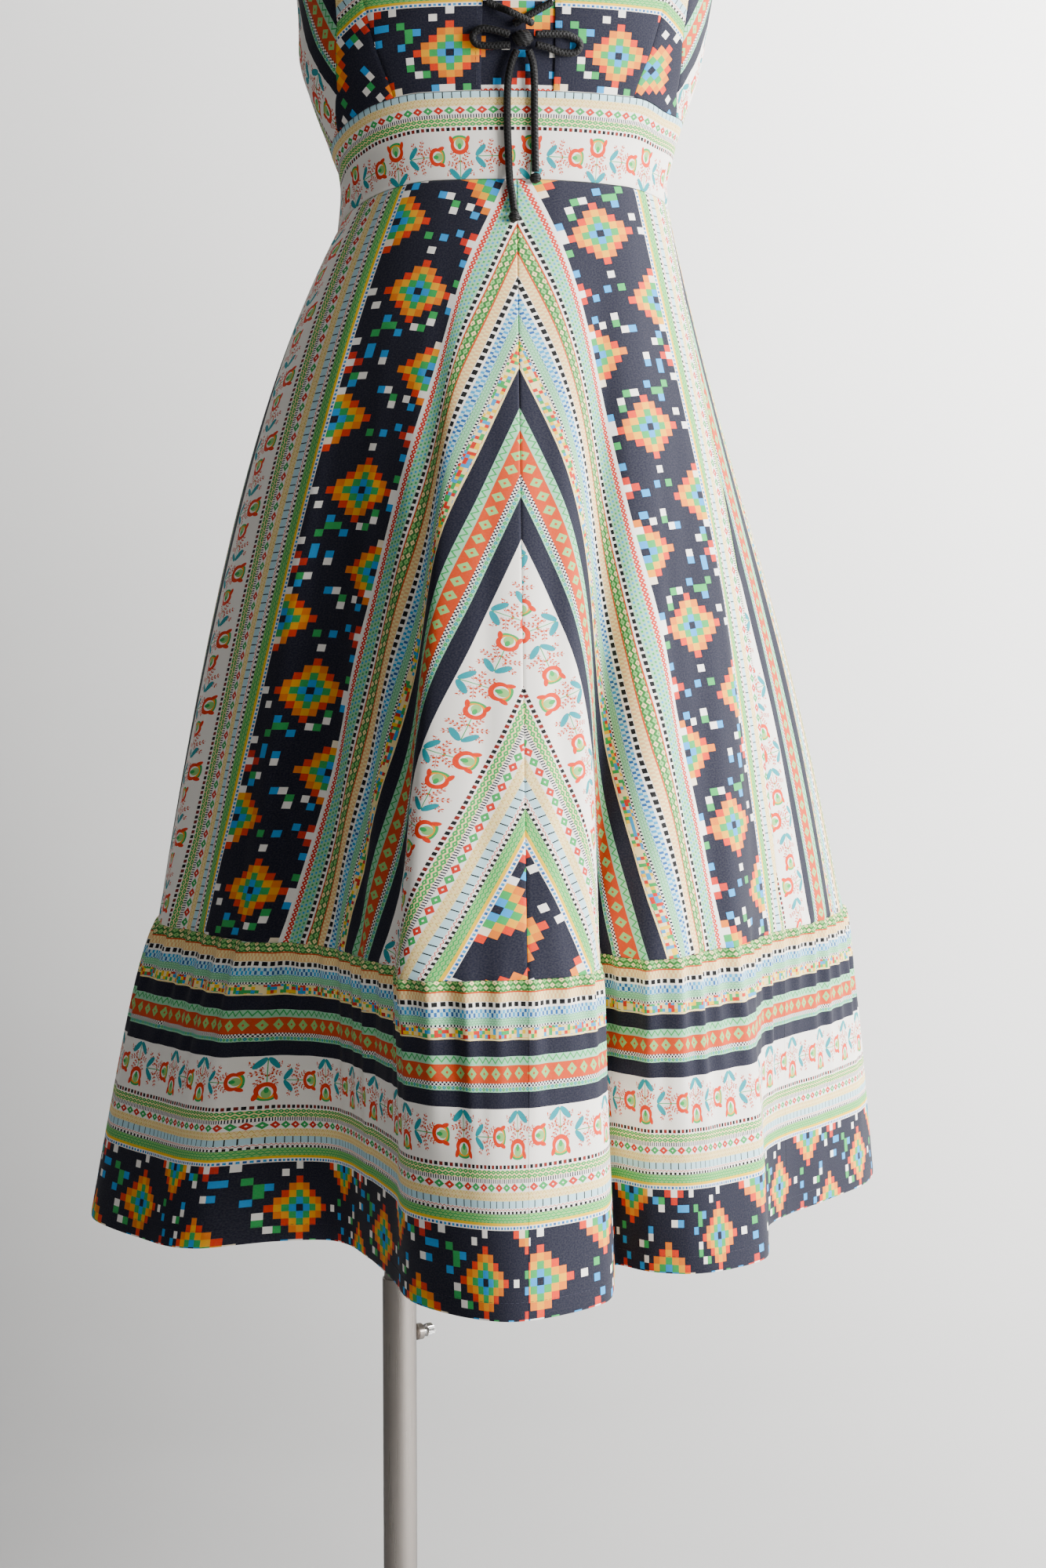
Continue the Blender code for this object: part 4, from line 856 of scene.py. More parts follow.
def sew_underlay():
    """The panel behind the lacing, just inside the two fronts."""
    rows = []
    for height in fine_rows([row for row in FRONT_ROWS if row <= UNDERLAY_TOP]):
        row = []
        for column in range(UNDERLAY_COLUMNS + 1):
            offset = mix(-UNDERLAY_HALF, UNDERLAY_HALF, column / UNDERLAY_COLUMNS)
            angle = degrees(asin(offset / table_value(BODY, "half_width", height)))
            level = foot_shift(height, angle)
            outside = cloth_point(angle, level, WALL + UNDERLAY_GAP)
            inside = cloth_point(angle, level, WALL + UNDERLAY_GAP + CLOTH)
            row.append((outside, inside, (offset, UNDERLAY_FOOT - (height - BODICE_FOOT))))
        rows.append(row)
    sew_in("lacing_underlay", rows, ["torso_form"])


def sew_midriff():
    """The shaped band between the bodice and the skirt, in three pieces."""
    spans = (
        ("midriff_front", -1.0, 1.0),
        ("midriff_back_right", 1.0, None),
        ("midriff_back_left", None, -1.0),
    )
    nudge = degrees(HALF_GAP / PANEL_RADIUS)
    for name, start_sign, end_sign in spans:
        shares, rolls = seam_steps(BAND_DEPTH, ROW_SPACING)
        columns, column_rolls = seam_steps(CUTS[name].width, COLUMN_SPACING)
        rows = []
        for level_share, level_roll in zip(shares, rolls):
            nominal = mix(MIDRIFF_LOW, MIDRIFF_HIGH, level_share)
            side = table_value(SIDE_EDGE, "angle", nominal)
            start = (start_sign * side if start_sign else -180.0) + nudge
            end = (end_sign * side if end_sign else 180.0) - nudge
            row = []
            for share, column_roll in zip(columns, column_rolls):
                angle = mix(start, end, share)
                low = seam_height("band_bottom", angle) + BAND_GAP
                high = seam_height("band_top", angle) - BAND_GAP
                faces = walls(angle, mix(low, high, level_share), max(level_roll, column_roll))
                place = (radians(angle) * PANEL_RADIUS, mix(BAND_FOOT_CUT, BAND_TOP_CUT, level_share))
                row.append((*faces, place))
            rows.append(row)
        sew_in(name, rows, ["torso_form"])


def gore_spans():
    """Start, end and names of the four skirt pieces and four flounce pieces."""
    marks = [MARK_OF[gore.fold] for gore in GORES]
    marks.append(marks[0] + 1.0)
    names = ("front_right", "back_right", "back_left", "front_left")
    return list(zip(names, marks, marks[1:]))


def skirt_crease(share, level):
    """Outward push of the soft small folds of the skirt at a place."""
    push = 0.0
    for crease in SKIRT_CREASES:
        centre = crease.share + crease.drift * (level - crease.level)
        across = (share - centre + 0.5) % 1.0 - 0.5
        if abs(across) > 4.0 * crease.half_width:
            continue
        along = (level - crease.level) / crease.half_length
        push += crease.height * exp(-((across / crease.half_width) ** 2)) * exp(-(along ** 2))
    return push * settings().crease_depth


def gore_cut(name, share, start, end, level):
    """Place on the printed cloth of a skirt point, from the gore laid flat."""
    cut = GORE_CUTS[name]
    middle, other = (start, end) if cut.from_start else (end, start)
    turn = cut.spread * (share - middle) / (other - middle)
    reach = cut.top_radius + level * SKIRT_SLANT
    across = reach * sin(turn)
    down = reach * cos(turn) - cut.top_radius
    if cut.front:
        along = down * STRIPE_COS + across * STRIPE_SIN + cut.shift
        place = STRIPE_START + STRIPE_SIN * down + STRIPE_DROOP * max(0.0, down - DROOP_FROM)
        place -= across * (STRIPE_NEAR - cut.ease * down ** 2)
    else:
        along = down * BACK_STRIPE_COS + across * BACK_STRIPE_SIN
        place = BACK_STRIPE_START - BACK_STRIPE_SIN * down + across * BACK_STRIPE_COS
    return (along * cut.hand, place)


def hung_spot(controls, share, push, height, place):
    """The outer and the inner face of hanging cloth, and its place on the print."""
    normal = ring_normal(controls, share)
    outside = ring_point(controls, share) + normal * push
    inside = outside - normal * CLOTH
    return (Vector((outside.x, outside.y, height)), Vector((inside.x, inside.y, height)), place)


def sew_skirt():
    """Four flared gores from the waist seam to the flounce seam."""
    levels, level_rolls = seam_steps(SKIRT_SLANT, ROW_SPACING * 1.4)
    rings = [skirt_controls(level) for level in levels]
    for name, start, end in gore_spans():
        shares, share_rolls = seam_steps((end - start) * SEAM_LENGTH, COLUMN_SPACING)
        tops = []
        for share in shares:
            waist_angle = waist_angle_at(mix(start, end, share))
            tops.append(seam_height("band_bottom", waist_angle) - BAND_GAP)
        rows = []
        for level, level_roll, controls in zip(levels, level_rolls, rings):
            first = ring_point(controls, start + SEAM_STEP) - ring_point(controls, start)
            nudge = HALF_GAP * SEAM_STEP / first.length
            row = []
            for share, share_roll, top in zip(shares, share_rolls, tops):
                spot = mix(start + nudge, end - nudge, share)
                push = skirt_crease(spot % 1.0, level) - max(level_roll, share_roll)
                push += pucker(spot, level)
                height = mix(top, SEAM_HEIGHT + HALF_GAP, level)
                place = gore_cut(name, spot, start, end, level)
                row.append(hung_spot(controls, spot, push, height, place))
            rows.append(row)
        sew_in("skirt_" + name, rows[::-1], ["midriff_front_cloth"])


def pucker(share, level):
    """Small dents that the gathers press into the skirt just above its seam."""
    fade = max(0.0, 1.0 - (1.0 - level) / PUCKER_REACH)
    return PUCKER_DEPTH * fade ** 2 * cos(share * GATHERS * 2.0 * pi)


def flounce_wave(share, level):
    """Push of the gathers: the solid's waves, with creases of uneven length between."""
    turn = share * 2.0 * pi
    swell = sin(turn * GATHER_QUICK + 0.7) * cos(turn * GATHER_SLOW)
    uneven = GATHER_MEAN + (1.0 - GATHER_MEAN) * swell
    wave = cos(turn * GATHERS)
    sharp = wave - 0.28 * (1.0 - wave * wave)
    fade = GATHER_FADE * mix(0.7, 2.1, scatter(int(share * GATHERS + 0.5)))
    push = uneven * sharp * exp(-((level / fade) ** 2))
    ripple = 0.30 * sin(turn * RIPPLE_COUNT + 4.0 * sin(turn * 3.0)) * exp(-((level - 0.3) / 0.3) ** 2)
    return settings().gather_depth * (push + ripple * uneven)


def scatter(index):
    """A fixed number from 0 to 1 for a whole number."""
    return (sin(index * 12.9898 + 4.1) * 43758.5453) % 1.0


def sew_flounce():
    """Four gathered strips from the flounce seam to the hem."""
    levels, level_rolls = seam_steps(FLOUNCE_DEPTH, ROW_SPACING)
    levels = [level ** 1.15 for level in levels]
    rings = [flounce_controls(level) for level in levels]
    for name, start, end in gore_spans():
        columns = round((end - start) * GATHERS * GATHER_COLUMNS)
        nudge = HALF_GAP / SEAM_LENGTH
        shares = [mix(start + nudge, end - nudge, step / columns) for step in range(columns + 1)]
        feet = [hem_height(share) for share in shares]
        rows = []
        for level, level_roll, controls in zip(levels, level_rolls, rings):
            row = []
            for share, foot in zip(shares, feet):
                push = flounce_wave(share, level) - level_roll * (1.0 if level < 0.5 else 0.5)
                height = mix(SEAM_HEIGHT - HALF_GAP, foot, level)
                along = share * SEAM_LENGTH * GATHER_FULLNESS
                place = (along, FLOUNCE_START + FLOUNCE_DEPTH * level)
                row.append(hung_spot(controls, share, push, height, place))
            rows.append(row)
        sew_in("flounce_" + name, rows[::-1], ["skirt_" + name + "_cloth"])


def outer_y(x, height, back=False):
    """Depth of the cloth's outer face at a place on the centre front or back."""
    middle = 180.0 if back else 0.0
    if height >= seam_height("band_bottom", middle):
        sine = x / (table_value(BODY, "half_width", height) + WALL + 0.006)
        angle = 180.0 - degrees(asin(sine)) if back else degrees(asin(sine))
        return cloth_point(angle, height).y
    top = seam_height("band_bottom", middle)
    level = (top - height) / (top - SEAM_HEIGHT)
    controls = skirt_controls(level)
    centre = MARK_OF["centre_back"] if back else MARK_OF["centre_front"]
    best = None
    for step in range(-40, 41):
        point = ring_point(controls, centre + step * 0.0015)
        miss = abs(point.x - FORM_X - x)
        if best is None or miss < best[0]:
            best = (miss, point.y)
    return best[1]


def front_spot(x, height, lift):
    """A point lifted off the cloth on the front, straight toward the viewer."""
    return Vector((FORM_X + x, outer_y(x, height) - lift, height))


def smooth_route(points, steps):
    """Points of a smooth open curve through a short route."""
    route = []
    ends = [points[0]] + list(points) + [points[-1]]
    for index in range(1, len(ends) - 2):
        before, start, end, after = ends[index - 1:index + 3]
        for step in range(steps):
            share = step / steps
            square = share * share
            cube = square * share
            route.append(
                (
                    start * 2.0
                    + (end - before) * share
                    + (before * 2.0 - start * 5.0 + end * 4.0 - after) * square
                    + (start * 3.0 - before - end * 3.0 + after) * cube
                )
                * 0.5
            )
    route.append(points[-1].copy())
    return route


def lace_mesh(name, route, radius):
    """A round braided cord along a route, with its length and its way round as its map."""
    build = bmesh.new()
    braid_map = build.loops.layers.uv.new("braid")
    rings, spots = [], []
    run = 0.0
    previous = None
    last = len(route) - 1
    for index, point in enumerate(route):
        along = (route[min(index + 1, last)] - route[max(index - 1, 0)]).normalized()
        if previous is not None:
            run += (point - previous).length
            side = (side - along * side.dot(along)).normalized()
        else:
            guide = Vector((0.0, 0.0, 1.0) if abs(along.z) < 0.8 else (1.0, 0.0, 0.0))
            side = along.cross(guide).normalized()
        other = along.cross(side)
        previous = point
        ring = []
        rounding = 0.9 if index in (0, last) else 1.0
        for step in range(LACE_SIDES):
            turn = 2.0 * pi * step / LACE_SIDES
            offset = side * cos(turn) + other * sin(turn)
            ring.append(build.verts.new(point + offset * radius * rounding))
        rings.append(ring)
        spots.append(run)
    for low, high, start, end in zip(rings, rings[1:], spots, spots[1:]):
        for step in range(LACE_SIDES):
            after = (step + 1) % LACE_SIDES
            face = build.faces.new((low[step], low[after], high[after], high[step]))
            places = ((start, step), (start, step + 1), (end, step + 1), (end, step))
            for loop, (place, way) in zip(face.loops, places):
                loop[braid_map].uv = (place, way / LACE_SIDES)
    build.faces.new(reversed(rings[0]))
    build.faces.new(rings[-1])
    return close_mesh(build, name, 60.0)


def fit(item, node, body):
    """Let a piece ride its body and stand for a solid."""
    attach(item, body)
    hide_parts(node)
    return item


def lace_piece(name, route):
    item = link(name + "_braid", lace_mesh(name, route, LACE_RADIUS), look("lace"))
    return fit(item, name, FIGURE)


def thread_lacing():
    """Crossed rows of lace between the fronts, up to the neckline."""
    rest = LACE_RADIUS - WALL - UNDERLAY_GAP + GAP
    reach = OPENING_HALF - GAP - LAP_GAP
    step_out = LACE_RADIUS + GAP
    over = 2 * LACE_RADIUS + 2 * GAP
    shares = [step / (LACE_STEPS - 1) for step in range(LACE_STEPS)]
    for index in range(3):
        low = LACE_BOTTOM + index * LACE_PITCH + step_out
        high = LACE_BOTTOM + (index + 1) * LACE_PITCH - step_out
        if index == 2:
            high -= step_out
        for name, sign in (("under", 1.0), ("over", -1.0)):
            route = []
            for share in shares:
                x = sign * mix(-reach, reach, share)
                bump = over * smooth(1.45 - abs(share - 0.5) * 3.4) if name == "over" else 0.0
                route.append(front_spot(x, mix(low, high, share), rest + bump))
            lace_piece(f"lace_cross_{index + 1}_{name}", route)
    top = LACE_BOTTOM + 3 * LACE_PITCH - GAP
    bar = [front_spot(mix(-reach, reach, share), top, rest) for share in shares]
    lace_piece("lace_top_bar", bar)
    low = KNOT_HEIGHT + KNOT_TOP
    for name, sign in (("under", 1.0), ("over", -1.0)):
        route = []
        for share in shares:
            x = mix(sign * reach, KNOT_X - sign * KNOT_SIDE, share)
            bump = over * smooth(1.7 - abs(share - 0.72) * 3.4) if name == "over" else 0.0
            height = mix(LACE_BOTTOM - step_out, low, share)
            route.append(front_spot(x, height, rest + bump))
        lace_piece(f"lace_bottom_{name}", route)


def wound_knot(name, centre, radii, wraps, slant):
    """A small knot: a rounded body with the wraps of the cord raised on it."""
    build = bmesh.new()
    bmesh.ops.create_uvsphere(build, u_segments=40, v_segments=26, radius=1.0)
    for vertex in build.verts:
        way = vertex.co.normalized()
        winding = sin((way.x * cos(slant) + way.z * sin(slant)) * pi * wraps)
        swell = 0.90 + 0.10 * abs(winding)
        spot = [size * part * swell for size, part in zip(radii, way)]
        vertex.co = centre + Vector(spot)
    braid_map = build.loops.layers.uv.new("braid")
    for face in build.faces:
        for loop in face.loops:
            spot = loop.vert.co - centre
            loop[braid_map].uv = (spot.z * 1.6, atan2(spot.y, spot.x) / (2.0 * pi))
    item = link(name + "_tied", close_mesh(build, name, 180.0), look("lace"))
    return fit(item, name, FIGURE)


def bow_route(name):
    """A free end or a loop of the bow, from its table."""
    lift = LACE_RADIUS + LAP_GAP
    spots = [front_spot(x, height, lift + out) for x, height, out in BOW_ROUTES[name]]
    return smooth_route(spots, BOW_STEPS)


def route_length(route):
    return sum((end - start).length for start, end in zip(route, route[1:]))


def tie_bow():
    """The tied bow: its knot, two loops and two hanging ends with knots."""
    seat = KNOT_SIZE[1] - WALL - UNDERLAY_GAP + GAP
    wound_knot("bow_knot", front_spot(KNOT_X, KNOT_HEIGHT, seat), KNOT_SIZE, 2.0, 0.5)
    for name in ("bow_loop_left", "bow_loop_right"):
        route = bow_route(name)
        loop = lace_piece(name, route)
        route_length(route)
    for name in ("long", "short"):
        route = bow_route(f"lace_tail_{name}")
        x, height, _ = BOW_ROUTES[f"lace_tail_{name}"][-1]
        centre = front_spot(x, height - KNOT_DROP, END_KNOT_SIZE[1] + LAP_GAP)
        knot = wound_knot(f"lace_knot_{name}", centre, END_KNOT_SIZE, 1.6, 1.2)
        tail = lace_piece(f"lace_tail_{name}", route)
        route_length(route)


def bridge(build, low, high):
    """A band of faces between two rings."""
    for place in range(len(low)):
        after = (place + 1) % len(low)
        build.faces.new((low[place], low[after], high[after], high[place]))


def turned_mesh(name, profile, sides, closed=False, bevel=0.0, ridges=0, ridge_depth=0.0):
    """Turn a profile of (radius, height) pairs about +Z."""
    build = bmesh.new()
    rings = []
    for radius, height in profile:
        ring = []
        for side in range(sides):
            turn = 2.0 * pi * side / sides
            dent = ridge_depth * (0.5 - 0.5 * cos(turn * ridges)) if ridges else 0.0
            reach = radius - (dent if radius > SCREW_RADIUS * 1.2 else 0.0)
            ring.append(build.verts.new((reach * cos(turn), reach * sin(turn), height)))
        rings.append(ring)
    for low, high in zip(rings, rings[1:] + (rings[:1] if closed else [])):
        bridge(build, low, high)
    if not closed:
        build.faces.new(reversed(rings[0]))
        build.faces.new(rings[-1])
    if bevel:
        rims = [
            edge for edge in build.edges
            if len(edge.link_faces) == 2 and edge.calc_face_angle(0.0) > radians(40.0)
        ]
        bmesh.ops.bevel(
            build, geom=rims, offset=bevel, segments=2, affect="EDGES", profile=0.6,
            clamp_overlap=True,
        )
    return close_mesh(build, name, 32.0)


def hard_piece(name, node, mesh, body, material):
    return fit(link(name, mesh, look(material)), node, body)


def turned_piece(name, node, body, material, profile, sides, place=None, **shape):
    """A turned piece, moved by a matrix, that stands for its solid."""
    mesh = turned_mesh(name.partition("_")[0], profile, sides, **shape)
    if place:
        mesh.transform(place)
    return hard_piece(name, node, mesh, body, material)


def build_stand():
    """Base plate, hub, tubes, welded nut and clamp screw."""
    plate = (
        (BASE_RADIUS - 0.001, 0.0), (BASE_RADIUS, 0.002), (BASE_RADIUS, BASE_THICK - 0.002),
        (BASE_RADIUS - 0.0006, BASE_THICK - 0.0006), (BASE_RADIUS - 0.002, BASE_THICK),
        (HUB_RADIUS * 0.8, BASE_THICK),
    )
    turned_piece("plate_steel", "base_plate", STAND, "plate_steel", plate, 160)
    foot = BASE_THICK + GAP
    clear = OUTER_TUBE_RADIUS + GAP
    hub = (
        (clear, foot), (HUB_RADIUS, foot), (HUB_RADIUS, foot + HUB_HEIGHT * 0.4),
        (OUTER_TUBE_RADIUS + 0.004, foot + HUB_HEIGHT), (clear, foot + HUB_HEIGHT),
    )
    turned_piece(
        "hub_steel", "base_hub", STAND, "pole_steel", hub, 80, closed=True, bevel=0.0008
    )
    outer = (
        (OUTER_TUBE_BORE, foot), (OUTER_TUBE_RADIUS, foot),
        (OUTER_TUBE_RADIUS, OUTER_TUBE_TOP), (OUTER_TUBE_BORE, OUTER_TUBE_TOP),
    )
    sleeve = turned_piece(
        "outer_tube_steel", "outer_tube", STAND, "pole_steel", outer, 72, closed=True, bevel=0.0003
    )
    inner_bore = INNER_TUBE_RADIUS - INNER_TUBE_WALL
    inner = (
        (inner_bore, INNER_TUBE_BOTTOM), (INNER_TUBE_RADIUS, INNER_TUBE_BOTTOM),
        (INNER_TUBE_RADIUS, INNER_TUBE_TOP), (inner_bore, INNER_TUBE_TOP),
    )
    turned_piece(
        "inner_tube_steel", "inner_tube", MAST, "pole_steel", inner, 72, closed=True, bevel=0.0004
    )
    direction = Vector((cos(CLAMP_TURN), sin(CLAMP_TURN), 0.0))
    turn = Vector((0.0, 0.0, 1.0)).rotation_difference(direction).to_matrix().to_4x4()
    place = Matrix.Translation((0.0, 0.0, CLAMP_HEIGHT)) @ turn
    seat = OUTER_TUBE_RADIUS + GAP
    bore = SCREW_RADIUS + GAP
    hole = turned_mesh("hole", ((bore, 0.0), (bore, 0.03)), 32)
    hole.transform(place)
    cut_with(sleeve, link("hole_shape", hole), "DIFFERENCE")
    nut = (
        (bore, seat), (NUT_RADIUS, seat + 0.0018), (NUT_RADIUS, seat + NUT_LENGTH),
        (bore, seat + NUT_LENGTH),
    )
    turned_piece(
        "nut_steel", "clamp_nut", STAND, "pole_steel", nut, 48, place, closed=True, bevel=0.0003
    )
    head = OUTER_TUBE_RADIUS + SCREW_REACH - SCREW_HEAD_LENGTH
    screw = (
        (SCREW_RADIUS, INNER_TUBE_RADIUS + GAP), (SCREW_RADIUS, head),
        (SCREW_HEAD_RADIUS, head + 0.0006), (SCREW_HEAD_RADIUS, head + SCREW_HEAD_LENGTH - 0.0008),
        (SCREW_HEAD_RADIUS - 0.0008, head + SCREW_HEAD_LENGTH),
    )
    turned_piece(
        "screw_chrome", "clamp_screw", CLAMP, "screw_chrome", screw, 120, place,
        ridges=SCREW_RIDGES, ridge_depth=0.0004,
    )


def build_form():
    """The limbless torso with its neck, its cap and the socket for the pole."""
    build = bmesh.new()
    heights = [FORM_BOTTOM + step * FORM_SPACING for step in range(FORM_RINGS)]
    heights += [1.603, 1.609, 1.615, 1.62, 1.625, 1.63, 1.634, 1.637, 1.639, 1.6398]
    rings = []
    for height in heights:
        ring = []
        for column in range(FORM_COLUMNS):
            angle = 360.0 * column / FORM_COLUMNS
            ring.append(build.verts.new(body_point(angle, height)))
        rings.append(ring)
    for low, high in zip(rings, rings[1:]):
        bridge(build, low, high)
    build.faces.new(reversed(rings[0]))
    top = rings[-1]
    half = FORM_COLUMNS // 2
    quarter = FORM_COLUMNS // 4
    for step in range(half):
        corners = []
        for turn in (quarter - step, quarter - step - 1, quarter + step + 1, quarter + step):
            vertex = top[turn % FORM_COLUMNS]
            if vertex not in corners:
                corners.append(vertex)
        if len(corners) > 2:
            build.faces.new(corners)
    mesh = close_mesh(build, "torso", 60.0)
    form = hard_piece("torso_jersey", "torso_form", mesh, FIGURE, "form_jersey")
    neck = (
        (0.066, 1.600), (0.0635, 1.620), (0.060, 1.634), (NECK_WIDE + 0.002, 1.645),
        (NECK_WIDE, 1.665), (NECK_WIDE - 0.0006, 1.690), (NECK_WIDE - 0.001, NECK_TOP - 0.006),
        (NECK_WIDE - 0.0026, NECK_TOP - 0.002), (NECK_WIDE - 0.006, NECK_TOP),
    )
    neck_place = Matrix.Translation((FORM_X, FORM_Y + NECK_BACK, 0.0))
    mesh = turned_mesh("neck", neck, 96)
    mesh.transform(neck_place)
    cut_with(form, link("neck_shape", mesh, look("form_jersey")), "UNION")
    clear = INNER_TUBE_RADIUS + GAP
    bore = ((clear, FORM_BOTTOM - 0.01), (clear, INNER_TUBE_TOP + GAP))
    cut_with(form, link("bore_shape", turned_mesh("bore", bore, 72)), "DIFFERENCE")
    cap = (
        (0.044, NECK_TOP + GAP), (0.0468, NECK_TOP + 0.002), (0.047, NECK_TOP + 0.004),
        (0.046, NECK_TOP + 0.010), (0.042, NECK_TOP + 0.0126), (0.036, NECK_TOP + 0.014),
        (0.012, NECK_TOP + 0.016),
    )
    turned_piece("cap_steel", "neck_cap", FIGURE, "plate_steel", cap, 96, neck_place)
    low = FORM_BOTTOM - SOCKET_THICK
    high = FORM_BOTTOM - GAP
    socket = ((clear, low), (SOCKET_RADIUS, low), (SOCKET_RADIUS, high), (clear, high))
    turned_piece(
        "socket_steel", "pole_socket", FIGURE, "pole_steel", socket, 72, closed=True, bevel=0.0004
    )


def rounded_block(name, size, edge, shift=(0.0, 0.0, 0.0), taper=0.0):
    build = bmesh.new()
    place = Matrix.Translation(shift) @ Matrix.Diagonal((*size, 1.0))
    bmesh.ops.create_cube(build, size=1.0, matrix=place)
    low = shift[2] - size[2] / 2
    for vertex in build.verts:
        if vertex.co.z > low + size[2] / 2:
            vertex.co.x *= 1.0 - taper
    bmesh.ops.bevel(
        build, geom=build.edges[:], offset=edge, segments=4, affect="EDGES", profile=0.5
    )
    return close_mesh(build, name, 60.0)


def set_zip():
    """Centre back zip: its tape inside, its slider and pull tab outside; its coil is made with the
    stitches.
    """
    outer, inner, cut = [], [], []
    for row in range(ZIP_ROWS + 1):
        height = mix(ZIP_BOTTOM, ZIP_TOP, row / ZIP_ROWS)
        outer_row, inner_row, cut_row = [], [], []
        for column in range(5):
            x = mix(ZIP_HALF, -ZIP_HALF, column / 4)
            y = outer_y(x, height, back=True) - ZIP_DEPTH
            outer_row.append(Vector((FORM_X + x, y, height)))
            inner_row.append(Vector((FORM_X + x, y - ZIP_THICK, height)))
            cut_row.append((x, height))
        outer.append(outer_row)
        inner.append(inner_row)
        cut.append(cut_row)
    mesh = cloth_mesh("zip_twill", outer, inner, cut)
    tape = link("zip_twill", mesh, look("zip_twill"), look("zip_twill"))
    fit(tape, "zip_tape", FIGURE)
    high = ZIP_TOP - ZIP_STOP
    low = high - PULL_LENGTH
    slope = atan2(outer_y(0.0, low, True) - outer_y(0.0, high, True), PULL_LENGTH)
    face = outer_y(0.0, high - SLIDER_LENGTH / 2, True)
    lean = Matrix.Rotation(slope, 4, "X")
    off = face + LAP_GAP + HALF_GAP + SLIDER_THICK / 2
    mid = Vector((FORM_X, off, high - SLIDER_LENGTH / 2))
    mesh = rounded_block("slider", (SLIDER_WIDTH, SLIDER_THICK, SLIDER_LENGTH), 0.0009, taper=-0.12)
    mesh.transform(Matrix.Translation(mid) @ lean)
    hard_piece("slider_metal", "zip_slider", mesh, FIGURE, "zip_metal")
    out = lean @ Vector((0.0, SLIDER_THICK / 2 + PULL_GAP + PULL_THICK / 2, 0.0))
    mesh = rounded_block(
        "pull", (PULL_WIDTH, PULL_THICK, PULL_LENGTH), 0.0005,
        shift=(0.0, 0.0, PULL_EYE - PULL_LENGTH / 2), taper=0.35,
    )
    mesh.transform(Matrix.Translation(mid + out) @ lean)
    hard_piece("pull_metal", "zip_pull", mesh, ZIP_TAB, "zip_metal")


def repeat_tree():
    """Geometry Nodes: one small shape repeated along a line at a pitch."""
    tree = bpy.data.node_groups.get("stitch_row")
    if tree:
        return tree
    tree = bpy.data.node_groups.new("stitch_row", "GeometryNodeTree")
    tree.interface.new_socket("Line", in_out="INPUT", socket_type="NodeSocketGeometry")
    for name in ("Pitch", "Length", "Thickness"):
        tree.interface.new_socket(name, in_out="INPUT", socket_type="NodeSocketFloat")
    tree.interface.new_socket("Thread", in_out="INPUT", socket_type="NodeSocketMaterial")
    tree.interface.new_socket("Stitches", in_out="OUTPUT", socket_type="NodeSocketGeometry")
    add = tree.nodes.new
    start = add("NodeGroupInput")
    end = add("NodeGroupOutput")
    curve = add("GeometryNodeMeshToCurve")
    points = add("GeometryNodeCurveToPoints")
    points.mode = "LENGTH"
    shape = add("GeometryNodeMeshUVSphere")
    shape.inputs["Segments"].default_value = 6
    shape.inputs["Rings"].default_value = 4
    shape.inputs["Radius"].default_value = 0.5
    size = add("ShaderNodeCombineXYZ")
    place = add("GeometryNodeInstanceOnPoints")
    turn = add("FunctionNodeAlignRotationToVector")
    turn.axis = "Z"
    real = add("GeometryNodeRealizeInstances")
    smooth_shape = add("GeometryNodeSetShadeSmooth")
    paint = add("GeometryNodeSetMaterial")
    wires = (
        (start, "Line", curve, "Mesh"),
        (curve, "Curve", points, "Curve"),
        (start, "Pitch", points, "Length"),
        (points, "Points", place, "Points"),
        (shape, "Mesh", place, "Instance"),
        (points, "Tangent", turn, "Vector"),
        (turn, "Rotation", place, "Rotation"),
        (start, "Thickness", size, "X"),
        (start, "Thickness", size, "Y"),
        (start, "Length", size, "Z"),
        (size, "Vector", place, "Scale"),
        (place, "Instances", real, "Geometry"),
        (real, "Geometry", smooth_shape, "Geometry"),
        (smooth_shape, "Geometry", paint, "Geometry"),
        (start, "Thread", paint, "Material"),
        (paint, "Geometry", end, "Stitches"),
    )
    for source, output, target, entry in wires:
        tree.links.new(source.outputs[output], target.inputs[entry])
    return tree


def repeat_along(name, lines, pitch, length, thickness, material, slot):
    """Run the stitch tree along lines of points and keep the result as one mesh."""
    mesh = bpy.data.meshes.new(name + "_lines")
    vertices, edges = [], []
    for line in lines:
        first = len(vertices)
        vertices += [tuple(point) for point in line]
        edges += [(first + step, first + step + 1) for step in range(len(line) - 1)]
    mesh.from_pydata(vertices, edges, [])
    carrier = link(name + "_lines", mesh)
    modifier = carrier.modifiers.new("rows", "NODES")
    modifier.node_group = repeat_tree()
    entries = {
        "Pitch": pitch, "Length": length, "Thickness": thickness, "Thread": look(material),
    }
    for item in modifier.node_group.interface.items_tree:
        if item.in_out == "INPUT" and item.name in entries:
            modifier[item.identifier] = entries[item.name]
    graph = bpy.context.evaluated_depsgraph_get()
    result = bpy.data.meshes.new_from_object(carrier.evaluated_get(graph))
    bpy.data.objects.remove(carrier)
    result.name = name
    if not result.materials:
        result.materials.append(look(material))
    item = link(name, result)
    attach(item, FIGURE)


